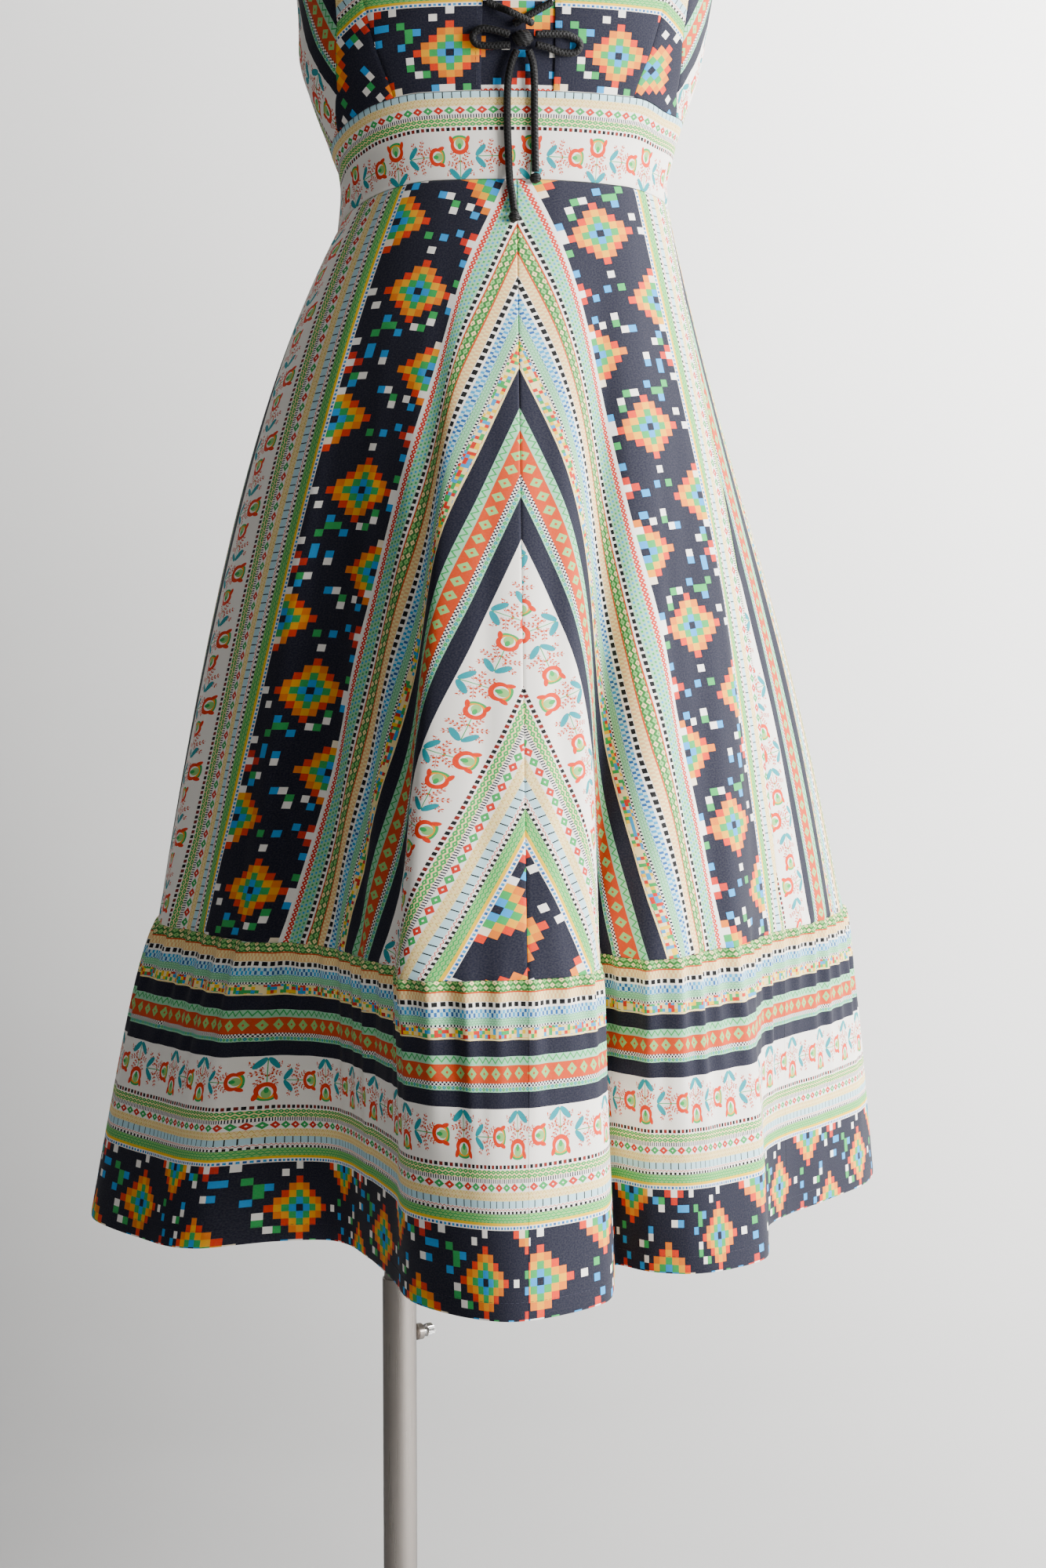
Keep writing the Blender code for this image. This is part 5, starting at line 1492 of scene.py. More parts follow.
def stitch_seams():
    """Machine stitches along the hem, the neck and the armholes, and the zip's coil."""
    values = settings()
    off = values.stitch_thickness * 0.15
    sizes = (values.stitch_pitch, values.stitch_length, values.stitch_thickness)
    level = 1.0 - HEM_DEPTH / FLOUNCE_DEPTH
    controls = flounce_controls(level)
    line = []
    for step in range(SEAM_STITCH_POINTS + 1):
        share = step / SEAM_STITCH_POINTS
        normal = ring_normal(controls, share)
        spot = ring_point(controls, share) + normal * (flounce_wave(share, level) + off)
        height = mix(SEAM_HEIGHT - HALF_GAP, hem_height(share), level)
        line.append(Vector((spot.x, spot.y, height)))
    repeat_along("hem_stitches", [line], *sizes, "thread", "print_cloth")
    free_edges = (
        (NECK_EDGE, EDGE_MARGIN, BODICE_FOOT + 0.005),
        (PRINCESS_EDGE, -EDGE_MARGIN, ARMHOLE_FRONT + 0.003),
        (SIDE_EDGE, EDGE_MARGIN, 1.478),
        (BACK_NECK_EDGE, -EDGE_MARGIN, 1.566),
    )
    edges = [
        edge_line(rows, sign, margin, low, EDGE_STITCH_TOP, off)
        for sign in (-1.0, 1.0) for rows, margin, low in free_edges
    ]
    repeat_along("edge_stitches", edges, *sizes, "thread", "print_cloth")
    teeth = []
    for step in range(ZIP_TEETH + 1):
        height = mix(ZIP_BOTTOM + 0.006, ZIP_TOP - 0.004, step / ZIP_TEETH)
        y = outer_y(0.0, height, back=True) - ZIP_DEPTH
        teeth.append(Vector((FORM_X, y + 0.0002, height)))
    repeat_along("zip_coil", [teeth], 0.0016, 0.0011, 0.0012, "zip_metal", "zip_metal")


def edge_line(rows, sign, margin, low, high, offset):
    """Points just inside a free edge of the bodice."""
    line = []
    for step in range(EDGE_STEPS + 1):
        height = mix(low, high, step / EDGE_STEPS)
        nudge = degrees(margin / PANEL_RADIUS)
        angle = sign * (table_value(rows, "angle", height) + nudge)
        level = foot_shift(height, angle)
        line.append(cloth_point(angle, level, bodice_crease(angle, level) - offset))
    return line


PRINT_REPEAT = 0.2397
REPEAT_MM = PRINT_REPEAT * 1000.0
ALONG_START = 5000.0
DARK_END = 62.3
COLOURS = {
    "navy": "131528",
    "white": "f9f5ee",
    "orange_red": "e23407",
    "orange": "ea6200",
    "amber": "f39c00",
    "yellow": "f6c412",
    "green": "30a552",
    "moss": "2f7a38",
    "leaf": "8fc873",
    "mint": "97d1ab",
    "sky": "b9dfe9",
    "light_blue": "3099d2",
    "blue": "1c5c9f",
    "teal": "10939f",
    "rust": "cc4210",
    "red": "cf2a18",
    "wine": "7c1c14",
    "cream": "fae3a2",
    "peach": "eebb80",
    "gold": "d3a838",
    "black": "08080c",
    "cell_blue": "2196dc",
}

# The printed stripes across one repeat: start in millimetres, base colour, the
# two colours of the small shapes, their pitch, rows, kind and size. Plain
# stripes have a base colour only.
Stripe = namedtuple(
    "Stripe", "start base first second pitch rows kind size",
    defaults=(None, None, 5.0, 1, "plain", 0.0),
)
STRIPES = table(
    Stripe,
    (0.0, "navy"),
    (62.5, "white"),
    (64.9, "white", "red", "red", 3.4, 1, "diamond", 0.80),
    (68.5, "mint", "light_blue", "green", 3.0, 3, "square", 0.50),
    (76.0, "white", "black", "black", 5.0, 1, "square", 0.64),
    (79.5, "rust"),
    (80.4, "moss", "leaf", "cream", 4.6, 2, "diamond", 0.62),
    (87.6, "rust"),
    (88.5, "cream", "peach", "peach", 3.0, 2, "check", 0.50),
    (94.4, "white", "black", "black", 5.6, 1, "square", 0.64),
    (98.4, "sky", "light_blue", "blue", 3.8, 2, "check", 0.46),
    (104.3, "mint", "green", "green", 2.4, 3, "zigzag", 0.34),
    (109.2, "white", "navy", "navy", 2.6, 1, "check", 0.48),
    (111.2, "cream"),
    (118.1, "navy"),
    (128.9, "mint", "green", "green", 5.6, 1, "zigzag", 0.36),
    (134.8, "rust", "leaf", "leaf", 10.5, 1, "diamond", 0.46),
    (145.6, "white", "navy", "navy", 2.6, 2, "check", 0.50),
    (148.6, "mint", "green", "teal", 3.0, 1, "diamond", 0.60),
    (151.5, "navy"),
    (162.3, "white"),
    (197.8, "white", "black", "wine", 3.7, 1, "square", 0.66),
    (200.8, "cream", "green", "green", 4.4, 2, "diamond", 0.72),
    (206.7, "white", "navy", "navy", 1.8, 1, "check", 0.46),
    (209.7, "white", "red", "green", 7.4, 1, "diamond", 0.62),
    (215.6, "cream", "peach", "gold", 2.6, 2, "zigzag", 0.30),
    (220.5, "sky", "black", "black", 6.2, 1, "check", 0.13),
    (225.4, "white", "red", "red", 3.0, 1, "zigzag", 0.40),
    (227.3, "white", "black", "black", 3.7, 1, "check", 0.52),
    (229.3, "green", "leaf", "leaf", 3.7, 3, "diamond", 0.66),
    (235.2, "yellow", "cream", "cream", 3.0, 1, "plain", 0.0),
    (237.2, "white", "light_blue", "blue", 3.0, 1, "square", 0.60),
)
RAMP_STEPS = 255
RAMP_LEAD = 0.3
# Scales that bring a stripe's numbers into the range of a ramp's colours
WIDTH_SCALE = 4.0
PITCH_SCALE = 20.0
ROW_SCALE = 8.0
MOSAIC_START = 111.4
MOSAIC_END = 117.9
MOSAIC_CELL = 2.35
MOSAIC = (
    (0.0, "cream"), (0.34, "red"), (0.50, "light_blue"), (0.66, "yellow"), (0.82, "green"),
)
CELL = 5.208
CELL_COUNT = 28.0
DIAMONDS = ((0.0, 6.0), (10.0, 0.0), (17.0, 11.0))
CROSSES = ((18.0, 0.0), (8.0, 11.0))
TOOTH_STEP = 7.0
DIAMOND_RINGS = ("navy", "cell_blue", "green", "amber", "orange_red")
TULIP_START = 162.3
TULIP_END = 197.8
TULIP_PITCH = 50.0
TULIP_TURN = 20.0
SPRIG_STEP = 2.5
TULIP_SHAPES = (
    ((4.2, 5.2), (5.4, 2.1), 0.8, "teal"),
    ((0.0, 30.2), (5.2, 2.4), 0.0, "green"),
    ((0.0, 25.0), (6.5, 6.0), 0.0, "orange_red"),
    ((5.6, 29.2), (1.5, 3.2), -0.35, "orange_red"),
    ((0.0, 29.0), (4.3, 2.2), 0.0, "amber"),
    ((0.0, 26.2), (4.0, 4.1), 0.0, "white"),
    ((0.0, 27.2), (2.9, 3.4), 0.0, "leaf"),
    ((0.0, 24.8), (1.4, 2.2), 0.0, "green"),
)


def paint(name):
    """A colour of the palette as linear light."""
    code = COLOURS[name]
    parts = [int(code[place:place + 2], 16) / 255.0 for place in (0, 2, 4)]
    linear = [
        part / 12.92 if part <= 0.04045 else ((part + 0.055) / 1.055) ** 2.4 for part in parts
    ]
    return (*linear, 1.0)


class Value:
    """A number in a node tree that adds, multiplies and so on by new math nodes."""

    def __init__(self, wires, socket):
        self.wires = wires
        self.socket = socket

    def __add__(self, other):
        return self.wires.math("ADD", self, other)

    def __sub__(self, other):
        return self.wires.math("SUBTRACT", self, other)

    def __rsub__(self, other):
        return self.wires.math("SUBTRACT", other, self)

    def __mul__(self, other):
        return self.wires.math("MULTIPLY", self, other)

    def __truediv__(self, other):
        return self.wires.math("DIVIDE", self, other)

    def __pow__(self, other):
        return self.wires.math("POWER", self, other)

    def __lt__(self, other):
        return self.wires.math("LESS_THAN", self, other)

    def __gt__(self, other):
        return self.wires.math("LESS_THAN", other, self)

    def __abs__(self):
        return self.wires.math("ABSOLUTE", self)

    def floor(self):
        return self.wires.math("FLOOR", self)

    def fract(self):
        return self.wires.math("FRACT", self)

    def wrap(self, high, low=0.0):
        return self.wires.math("WRAP", self, high, low)


class Wiring:
    """Adds nodes to a tree one after another and wires them."""

    def __init__(self, tree):
        self.tree = tree

    def node(self, kind, **options):
        item = self.tree.nodes.new(kind)
        for name, value in options.items():
            setattr(item, name, value)
        return item

    def feed(self, entry, value):
        value = getattr(value, "socket", value)
        if isinstance(value, bpy.types.NodeSocket):
            self.tree.links.new(value, entry)
        else:
            entry.default_value = value

    def math(self, operation, *values):
        item = self.node("ShaderNodeMath", operation=operation)
        for entry, value in zip(item.inputs, values):
            self.feed(entry, value)
        return Value(self, item.outputs[0])

    def blend(self, share, start, end, data_type="RGBA", first=6, result=2):
        item = self.node("ShaderNodeMix", data_type=data_type)
        for place, value in zip((0, first, first + 1), (share, start, end)):
            self.feed(item.inputs[place], value)
        return Value(self, item.outputs[result])

    def fade(self, share, start, end):
        return self.blend(share, start, end, "FLOAT", 2, 0)

    def ramp(self, value, stops):
        """Bands without blending: stops are (position, four numbers)."""
        item = self.node("ShaderNodeValToRGB")
        item.color_ramp.interpolation = "CONSTANT"
        elements = item.color_ramp.elements
        elements.remove(elements[1])
        elements[0].position = 0.0
        elements[0].color = stops[0][1]
        for position, colour in stops[1:]:
            elements.new(position).color = colour
        self.feed(item.inputs[0], value)
        return [Value(self, output) for output in item.outputs]

    def split(self, value, kind="ShaderNodeSeparateXYZ"):
        item = self.node(kind)
        self.feed(item.inputs[0], value)
        return [Value(self, output) for output in item.outputs]

    def noise_cell(self, x, y, seed):
        """A fixed random number for each pair of whole numbers."""
        place = self.node("ShaderNodeCombineXYZ")
        for entry, value in zip(place.inputs, (x, y, seed)):
            self.feed(entry, value)
        item = self.node("ShaderNodeTexWhiteNoise", noise_dimensions="3D")
        self.feed(item.inputs[0], place.outputs[0])
        return Value(self, item.outputs[0])


def ellipse(x, y, centre, radii, turn=0.0):
    """Squared distance from a centre, 1 on the ellipse."""
    across = x - centre[0]
    up = y - centre[1]
    if turn:
        first = across * cos(turn)
        second = across * sin(turn)
        across = first + up * sin(turn)
        up = up * cos(turn) - second
    wide = (across / radii[0]) ** 2.0
    high = (up / radii[1]) ** 2.0
    return wide + high


def stripe_stops(function):
    """Ramp stops at the stripes' starts, each a little before its table entry."""
    stops = []
    for stripe, after in zip(STRIPES, STRIPES[1:] + (None,)):
        start = round(stripe.start / REPEAT_MM * RAMP_STEPS) / RAMP_STEPS
        end = 1.0
        if after:
            end = round(after.start / REPEAT_MM * RAMP_STEPS) / RAMP_STEPS
        position = max(0.0, start - RAMP_LEAD / RAMP_STEPS)
        stops.append((position, function(stripe, start, end - start)))
    return stops


def woven_stripes(wires, along, share):
    """The stripes with their small repeated shapes; along in millimetres, share of the repeat."""
    base, first, second = [
        wires.ramp(share, stripe_stops(lambda s, *_: paint(getattr(s, layer) or s.base)))[0]
        for layer in ("base", "first", "second")
    ]
    place, row_share = wires.ramp(
        share,
        stripe_stops(
            lambda s, start, width: (
                start, width * WIDTH_SCALE, s.pitch / PITCH_SCALE, s.rows / ROW_SCALE
            )
        ),
    )
    start, width, pitch = wires.split(place, "ShaderNodeSeparateColor")[:3]
    shape, is_check = wires.ramp(
        share,
        stripe_stops(
            lambda s, *_: (
                float(s.kind == "zigzag"), float(s.kind == "diamond"), s.size,
                float(s.kind == "check"),
            )
        ),
    )
    zigzag, diamond, size = wires.split(shape, "ShaderNodeSeparateColor")[:3]
    level = (share - start) / width
    rows = level * (row_share * (ROW_SCALE * WIDTH_SCALE))
    row = rows.floor()
    high = rows.fract()
    far = along / (pitch * PITCH_SCALE)
    far = far + row * 0.5
    cell = far.floor()
    off = abs(far.fract() - 0.5) * 2.0
    up = abs(high - 0.5) * 2.0
    open_up = up * (1.0 - is_check)
    square = wires.math("MAXIMUM", off, open_up)
    slanted = (off + up) / 1.6
    tooth = abs(high - (off * 0.6 + 0.2)) * 3.0
    distance = wires.fade(diamond, square, slanted)
    distance = wires.fade(zigzag, distance, tooth)
    mask = distance < size
    core = (size * 0.26) < slanted
    mask = mask * wires.fade(diamond, 1.0, core)
    odd = wires.math("PINGPONG", cell + row, 1.0)
    chance = wires.noise_cell(cell, row, 3.0) < 0.5
    which = wires.fade(is_check, odd, chance)
    colour = wires.blend(mask, base, wires.blend(which, first, second))
    across = share * REPEAT_MM
    spot = (along / MOSAIC_CELL).floor()
    lane = (across / MOSAIC_CELL).floor()
    stops = [(start, paint(name)) for start, name in MOSAIC]
    mosaic = wires.ramp(wires.noise_cell(spot, lane, 5.0), stops)[0]
    inside = (across > MOSAIC_START) * (across < MOSAIC_END)
    return wires.blend(inside, colour, mosaic)


def stepped_diamonds(wires, along, across):
    """The dark band: stepped diamonds, crosses and scattered squares in counted cells."""
    column = (along / CELL).floor()
    row = (across / CELL).floor()

    def nearest(centres):
        best = None
        for centre_column, centre_row in centres:
            over = (column - centre_column).wrap(CELL_COUNT / 2.0, -CELL_COUNT / 2.0)
            up = abs(row - centre_row)
            steps = abs(over) + up
            best = steps if best is None else wires.math("MINIMUM", best, steps)
        return best

    rings = nearest(DIAMONDS)
    stops = [
        (max(0.0, (step - 0.5) / 8.0), paint(name)) for step, name in enumerate(DIAMOND_RINGS)
    ]
    stops.append((4.5 / 8.0, paint("navy")))
    colour = wires.ramp(rings / 8.0, stops)[0]
    arms = nearest(CROSSES)
    around = column.wrap(CELL_COUNT)
    loose = wires.noise_cell(around, row, 7.0) > 0.84
    loose = loose * (rings > 5.5)
    pick = wires.noise_cell(around, row, 11.0)
    stops = [(0.0, paint("white")), (0.42, paint("cell_blue")), (0.78, paint("green"))]
    colour = wires.blend(loose, colour, wires.ramp(pick, stops)[0])
    outermost = abs(row - 5.5) > 5.4
    tooth = column.wrap(TOOTH_STEP) < 0.5
    colour = wires.blend(tooth * outermost, colour, paint("white"))
    colour = wires.blend(arms < 1.5, colour, paint("red"))
    colour = wires.blend(arms < 0.5, colour, paint("white"))
    warm = (rings > 2.5) * (rings < 4.5)
    bright = warm * wires.math("PINGPONG", column, 1.0)
    return wires.blend(bright * 0.30, colour, paint("yellow"))


def sprigs(wires, along, across):
    """The white band: tulips with leaves and sprigs, one upright and one on its side."""
    place = along.wrap(TULIP_PITCH)
    rise = across - TULIP_START
    lying = place > TULIP_TURN
    upright_side = place - TULIP_TURN / 2.0
    lying_side = rise - (TULIP_END - TULIP_START) / 2.0
    side = abs(wires.fade(lying, upright_side, lying_side))
    tall = wires.fade(lying, rise, (place - TULIP_TURN) * 1.12)
    base = tall - 10.5
    reach = wires.math("SQRT", side ** 2.0 + base * base)
    swing = wires.math("ARCTAN2", side, base)
    near = swing.wrap(0.90, 0.15) - 0.525
    near = abs(near) * reach
    step = ((reach / SPRIG_STEP).fract() - 0.5) * SPRIG_STEP
    leaflet = ellipse(near, step, (1.05, 0.0), (0.95, 0.52), 0.8) < 1.0
    span = (reach > 2.0) * (reach < 13.0)
    span = span * (swing < 2.3)
    twig = (near < 0.18) * span
    colour = wires.blend(twig, paint("white"), paint("rust"))
    colour = wires.blend(leaflet * span, colour, paint("rust"))
    stem = (side < 0.3) * (tall > 2.0)
    stem = stem * (tall < 20.0)
    colour = wires.blend(stem, colour, paint("green"))
    for centre, radii, turn, name in TULIP_SHAPES:
        inside = ellipse(side, tall, centre, radii, turn) < 1.0
        colour = wires.blend(inside, colour, paint(name))
    return colour


def print_group():
    """The printed cotton: takes the place on the cloth in metres, gives colour and weave."""
    tree = bpy.data.node_groups.new("striped_print", "ShaderNodeTree")
    for name, side, kind in (
        ("Place", "INPUT", "Vector"), ("Colour", "OUTPUT", "Color"), ("Weave", "OUTPUT", "Float"),
    ):
        tree.interface.new_socket(name, in_out=side, socket_type=f"NodeSocket{kind}")
    wires = Wiring(tree)
    start = wires.node("NodeGroupInput")
    x, y = wires.split(start.outputs[0])[:2]
    along = x * 1000.0 + ALONG_START
    repeats = (y / PRINT_REPEAT + 8.0).fract()
    across = repeats * REPEAT_MM
    colour = woven_stripes(wires, along, repeats)
    dark = across < DARK_END
    colour = wires.blend(dark, colour, stepped_diamonds(wires, along, across))
    band = (across > TULIP_START) * (across < TULIP_END - 0.4)
    colour = wires.blend(band, colour, sprigs(wires, along, across))
    warp = wires.math("SINE", along * (2.0 * pi / THREAD_PITCH))
    weft = wires.math("SINE", across * (2.0 * pi / THREAD_PITCH))
    weave = warp * weft
    speck = wires.node("ShaderNodeTexNoise", noise_dimensions="2D")
    speck.inputs["Scale"].default_value = 900.0
    speck.inputs["Detail"].default_value = 1.0
    wires.feed(speck.inputs["Vector"], start.outputs[0])
    worn = (Value(wires, speck.outputs[0]) - 0.30) * 0.05
    colour = wires.blend(worn, colour, (0.70, 0.69, 0.66, 1.0))
    end = wires.node("NodeGroupOutput")
    wires.feed(end.inputs[0], colour)
    wires.feed(end.inputs[1], weave)
    return tree


def new_material(name, colour, roughness, metallic=0.0):
    """A material with its wiring and its shader."""
    material = bpy.data.materials.new(f"{name}_look")
    material.use_nodes = True
    shader = material.node_tree.nodes["Principled BSDF"]
    shader.inputs["Base Color"].default_value = (*colour, 1.0)
    shader.inputs["Roughness"].default_value = roughness
    shader.inputs["Metallic"].default_value = metallic
    return Wiring(material.node_tree), shader


def raise_surface(wires, shader, height, strength, distance):
    bump = wires.node("ShaderNodeBump")
    bump.inputs["Strength"].default_value = strength
    bump.inputs["Distance"].default_value = distance
    wires.feed(bump.inputs["Height"], height)
    wires.feed(shader.inputs["Normal"], bump.outputs[0])


def soft_cloth(shader, sheen, roughness):
    shader.inputs["Sheen Weight"].default_value = sheen
    shader.inputs["Sheen Roughness"].default_value = roughness
    shader.inputs["Specular IOR Level"].default_value = 0.25


def stretched_noise(wires, scale):
    """Noise in the piece's own coordinates, stretched by a scale on each axis."""
    place = wires.node("ShaderNodeTexCoord")
    stretch = wires.node("ShaderNodeMapping")
    stretch.inputs["Scale"].default_value = scale
    wires.feed(stretch.inputs[0], place.outputs["Object"])
    noise = wires.node("ShaderNodeTexNoise")
    noise.inputs["Scale"].default_value = 1.0
    noise.inputs["Detail"].default_value = 2.0
    wires.feed(noise.inputs["Vector"], stretch.outputs[0])
    return Value(wires, noise.outputs[0])


def mix_cloth(group, name, reverse):
    """Printed cotton: full colour outside, paler where the print shows through inside."""
    wires, shader = new_material(name, (0.6, 0.6, 0.55), 0.85)
    place = wires.node("ShaderNodeUVMap", uv_map="cut")
    pattern = wires.node("ShaderNodeGroup", node_tree=group)
    wires.feed(pattern.inputs[0], place.outputs[0])
    colour = pattern.outputs[0]
    if reverse:
        colour = wires.blend(0.45, colour, (0.72, 0.70, 0.66, 1.0))
    wires.feed(shader.inputs["Base Color"], colour)
    raise_surface(wires, shader, pattern.outputs[1], 0.25, 0.0001)
    soft_cloth(shader, 0.04, 0.45)


def mix_lace():
    """Black braid: strands that cross on the slant."""
    tint = tuple(settings().lace_colour)
    wires, shader = new_material("lace", tint, 0.6)
    place = wires.node("ShaderNodeUVMap", uv_map="braid")
    run, way = wires.split(place.outputs[0])[:2]
    length = run * (2.0 * pi / BRAID_PITCH)
    around = way * (2.0 * pi * BRAID_STRANDS)
    left = wires.math("SINE", length + around)
    right = wires.math("SINE", length - around)
    strand = wires.math("MAXIMUM", left, right)
    # Painted shade: the braid's colour drops to 15 percent in the hollows between strands, where the
    # same height used for the bump is lowest.
    tone = (strand + 1.0) * 0.5
    dark = tuple(part * 0.15 for part in tint)
    colour = wires.blend(tone, (*dark, 1.0), (*tint, 1.0))
    wires.feed(shader.inputs["Base Color"], colour)
    raise_surface(wires, shader, strand, 0.8, 0.0002)
    soft_cloth(shader, 0.03, 0.4)


def mix_knit(name, colour, roughness, scale, strength, distance):
    """A plain matt cloth or thread with its own fine grain."""
    wires, shader = new_material(name, tuple(colour), roughness)
    raise_surface(wires, shader, stretched_noise(wires, scale), strength, distance)
    return shader


def mix_brushed(name, colour, roughness, scale, strength, metallic=1.0):
    """Metal or paint with a fine grain of its own."""
    wires, shader = new_material(name, colour, roughness, metallic)
    grain = stretched_noise(wires, scale)
    wires.feed(shader.inputs["Roughness"], grain * 0.16 + (roughness - 0.08))
    raise_surface(wires, shader, grain, strength, 0.0001)
    return wires, shader


def mix_looks():
    """All the materials of the dress, its form, its stand and its stage."""
    group = print_group()
    mix_cloth(group, "dress_print", False)
    mix_cloth(group, "dress_print_reverse", True)
    mix_lace()
    shader = mix_knit("form_jersey", settings().form_colour, 0.9, (900.0, 900.0, 300.0), 0.25, 0.0003)
    soft_cloth(shader, 0.2, 0.5)
    shader = mix_knit("zip_twill", (0.030, 0.034, 0.062), 0.85, (1400.0, 1400.0, 500.0), 0.4, 0.0002)
    soft_cloth(shader, 0.1, 0.5)
    mix_knit("thread", settings().thread_colour, 0.7, (3000.0, 3000.0, 3000.0), 0.3, 0.0001)
    wires, shader = mix_brushed(
        "pole_steel", (0.42, 0.38, 0.35), 0.30, (900.0, 900.0, 14.0), 0.15
    )
    # Painted reflection: the steel's colour fades to near black, and stops being metal, toward its
    # edges as the camera sees them, standing in for the dark room it would reflect.
    edge = wires.node("ShaderNodeLayerWeight")
    edge.inputs["Blend"].default_value = 0.45
    facing = Value(wires, edge.outputs["Facing"])
    tone = wires.blend(facing, (0.44, 0.40, 0.37, 1.0), (0.022, 0.018, 0.017, 1.0))
    wires.feed(shader.inputs["Base Color"], tone)
    wires.feed(shader.inputs["Metallic"], 1.0 - facing)
    shader.inputs["Specular IOR Level"].default_value = 0.05
    mix_brushed("plate_steel", (0.52, 0.52, 0.52), 0.46, (500.0, 500.0, 500.0), 0.2)
    mix_brushed("screw_chrome", (0.78, 0.78, 0.79), 0.16, (300.0, 300.0, 300.0), 0.05)
    mix_brushed("zip_metal", (0.050, 0.055, 0.090), 0.38, (800.0, 800.0, 800.0), 0.1, 0.6)
    wires, shader = new_material("backdrop_paper", (0.80, 0.79, 0.775), 0.95)
    # Painted light and shade on the paper: brighter to the right and upward, darker toward the lower
    # left, never below a fifth of white, with a faint random cloud in its tone.
    x, _, z = wires.split(wires.node("ShaderNodeTexCoord").outputs["Object"])
    side = x * 0.26
    rise = z * 0.24
    cloud = stretched_noise(wires, (2.0, 2.0, 2.0)) * 0.05
    shade = (side + rise) + (cloud + 0.31)
    shade = wires.math("MAXIMUM", shade, 0.20)
    tone = wires.blend(shade, (0.0, 0.0, 0.002, 1.0), (1.0, 0.998, 0.990, 1.0))
    wires.feed(shader.inputs["Base Color"], tone)


def look(name):
    return bpy.data.materials[f"{name}_look"]


def cut_with(item, shape, operation):
    """Join a hidden shape to a piece or take it out of it, for good."""
    material = item.data.materials[0]
    modifier = item.modifiers.new("shape", "BOOLEAN")
    modifier.object = shape
    modifier.operation = operation
    modifier.solver = "EXACT"
    graph = bpy.context.evaluated_depsgraph_get()
    mesh = bpy.data.meshes.new_from_object(item.evaluated_get(graph))
    item.modifiers.clear()
    item.data = mesh
    mesh.materials.clear()
    mesh.materials.append(material)
    for polygon in mesh.polygons:
        polygon.material_index = 0
    mesh.set_sharp_from_angle(angle=radians(32.0))
    bpy.data.objects.remove(shape)


def build_backdrop():
    """A pale floor that sweeps up into the wall behind."""
    rows = [(y, 0.0) for y in (-9.0, -5.0, -2.0, 0.0, SWEEP_START)]
    for step in range(1, SWEEP_STEPS + 1):
        turn = radians(90.0 * step / SWEEP_STEPS)
        rows.append((SWEEP_START + SWEEP_RADIUS * sin(turn), SWEEP_RADIUS * (1.0 - cos(turn))))
    rows += [(SWEEP_START + SWEEP_RADIUS, height) for height in (3.0, 9.0)]
    build = bmesh.new()
    grid = []
    for y, z in rows:
        grid.append([build.verts.new((x, y, z - FLOOR_DROP)) for x in BACKDROP_COLUMNS])
    for low, high in zip(grid, grid[1:]):
        for column in range(len(low) - 1):
            corners = (low[column], low[column + 1], high[column + 1], high[column])
            build.faces.new(corners)
    mesh = bpy.data.meshes.new("backdrop")
    build.to_mesh(mesh)
    build.free()
    mesh.shade_smooth()
    backdrop = link("backdrop", mesh, look("backdrop_paper"))
    world = bpy.data.worlds.new("room")
    bpy.context.scene.world = world
    world.use_nodes = True
    background = world.node_tree.nodes["Background"]
    background.inputs["Color"].default_value = (1.0, 0.985, 0.965, 1.0)
    background.inputs["Strength"].default_value = settings().room_light


def soft_light(name, place, target, width, height, power, colour):
    data = bpy.data.lights.new(name, "AREA")
    data.shape = "RECTANGLE"
    data.size = width
    data.size_y = height
    data.energy = power
    data.color = colour
    item = link(name, data)
    item.location = place
    item.rotation_euler = (Vector(target) - Vector(place)).to_track_quat("-Z", "Y").to_euler()


def build_stage():
    """Camera, backdrop and the soft light from the right."""
    values = settings()
    build_backdrop()
    soft_light(
        "window", (2.7, -2.1, 1.75), (0.08, 0.0, 1.0), 1.6, 2.0, values.key_light,
        (1.0, 0.985, 0.96),
    )
    soft_light(
        "fill", (-2.6, -2.6, 1.5), (0.05, 0.0, 0.9), 2.0, 2.0, values.fill_light,
        (0.97, 0.98, 1.0),
    )
    soft_light(
        "wall_light", (2.4, 0.2, 2.2), (0.9, 2.1, 1.5), 1.2, 1.6, values.wall_light,
        (1.0, 0.99, 0.98),
    )
    data = bpy.data.cameras.new("camera")
    data.lens = CAMERA_LENS
    data.sensor_width = data.sensor_height = CAMERA_SENSOR
    data.sensor_fit = "VERTICAL"
    camera = link("camera", data)
    camera.location = CAMERA_PLACE
    camera.rotation_euler = (radians(CAMERA_TILT), 0.0, radians(CAMERA_PAN))
    bpy.context.scene.camera = camera


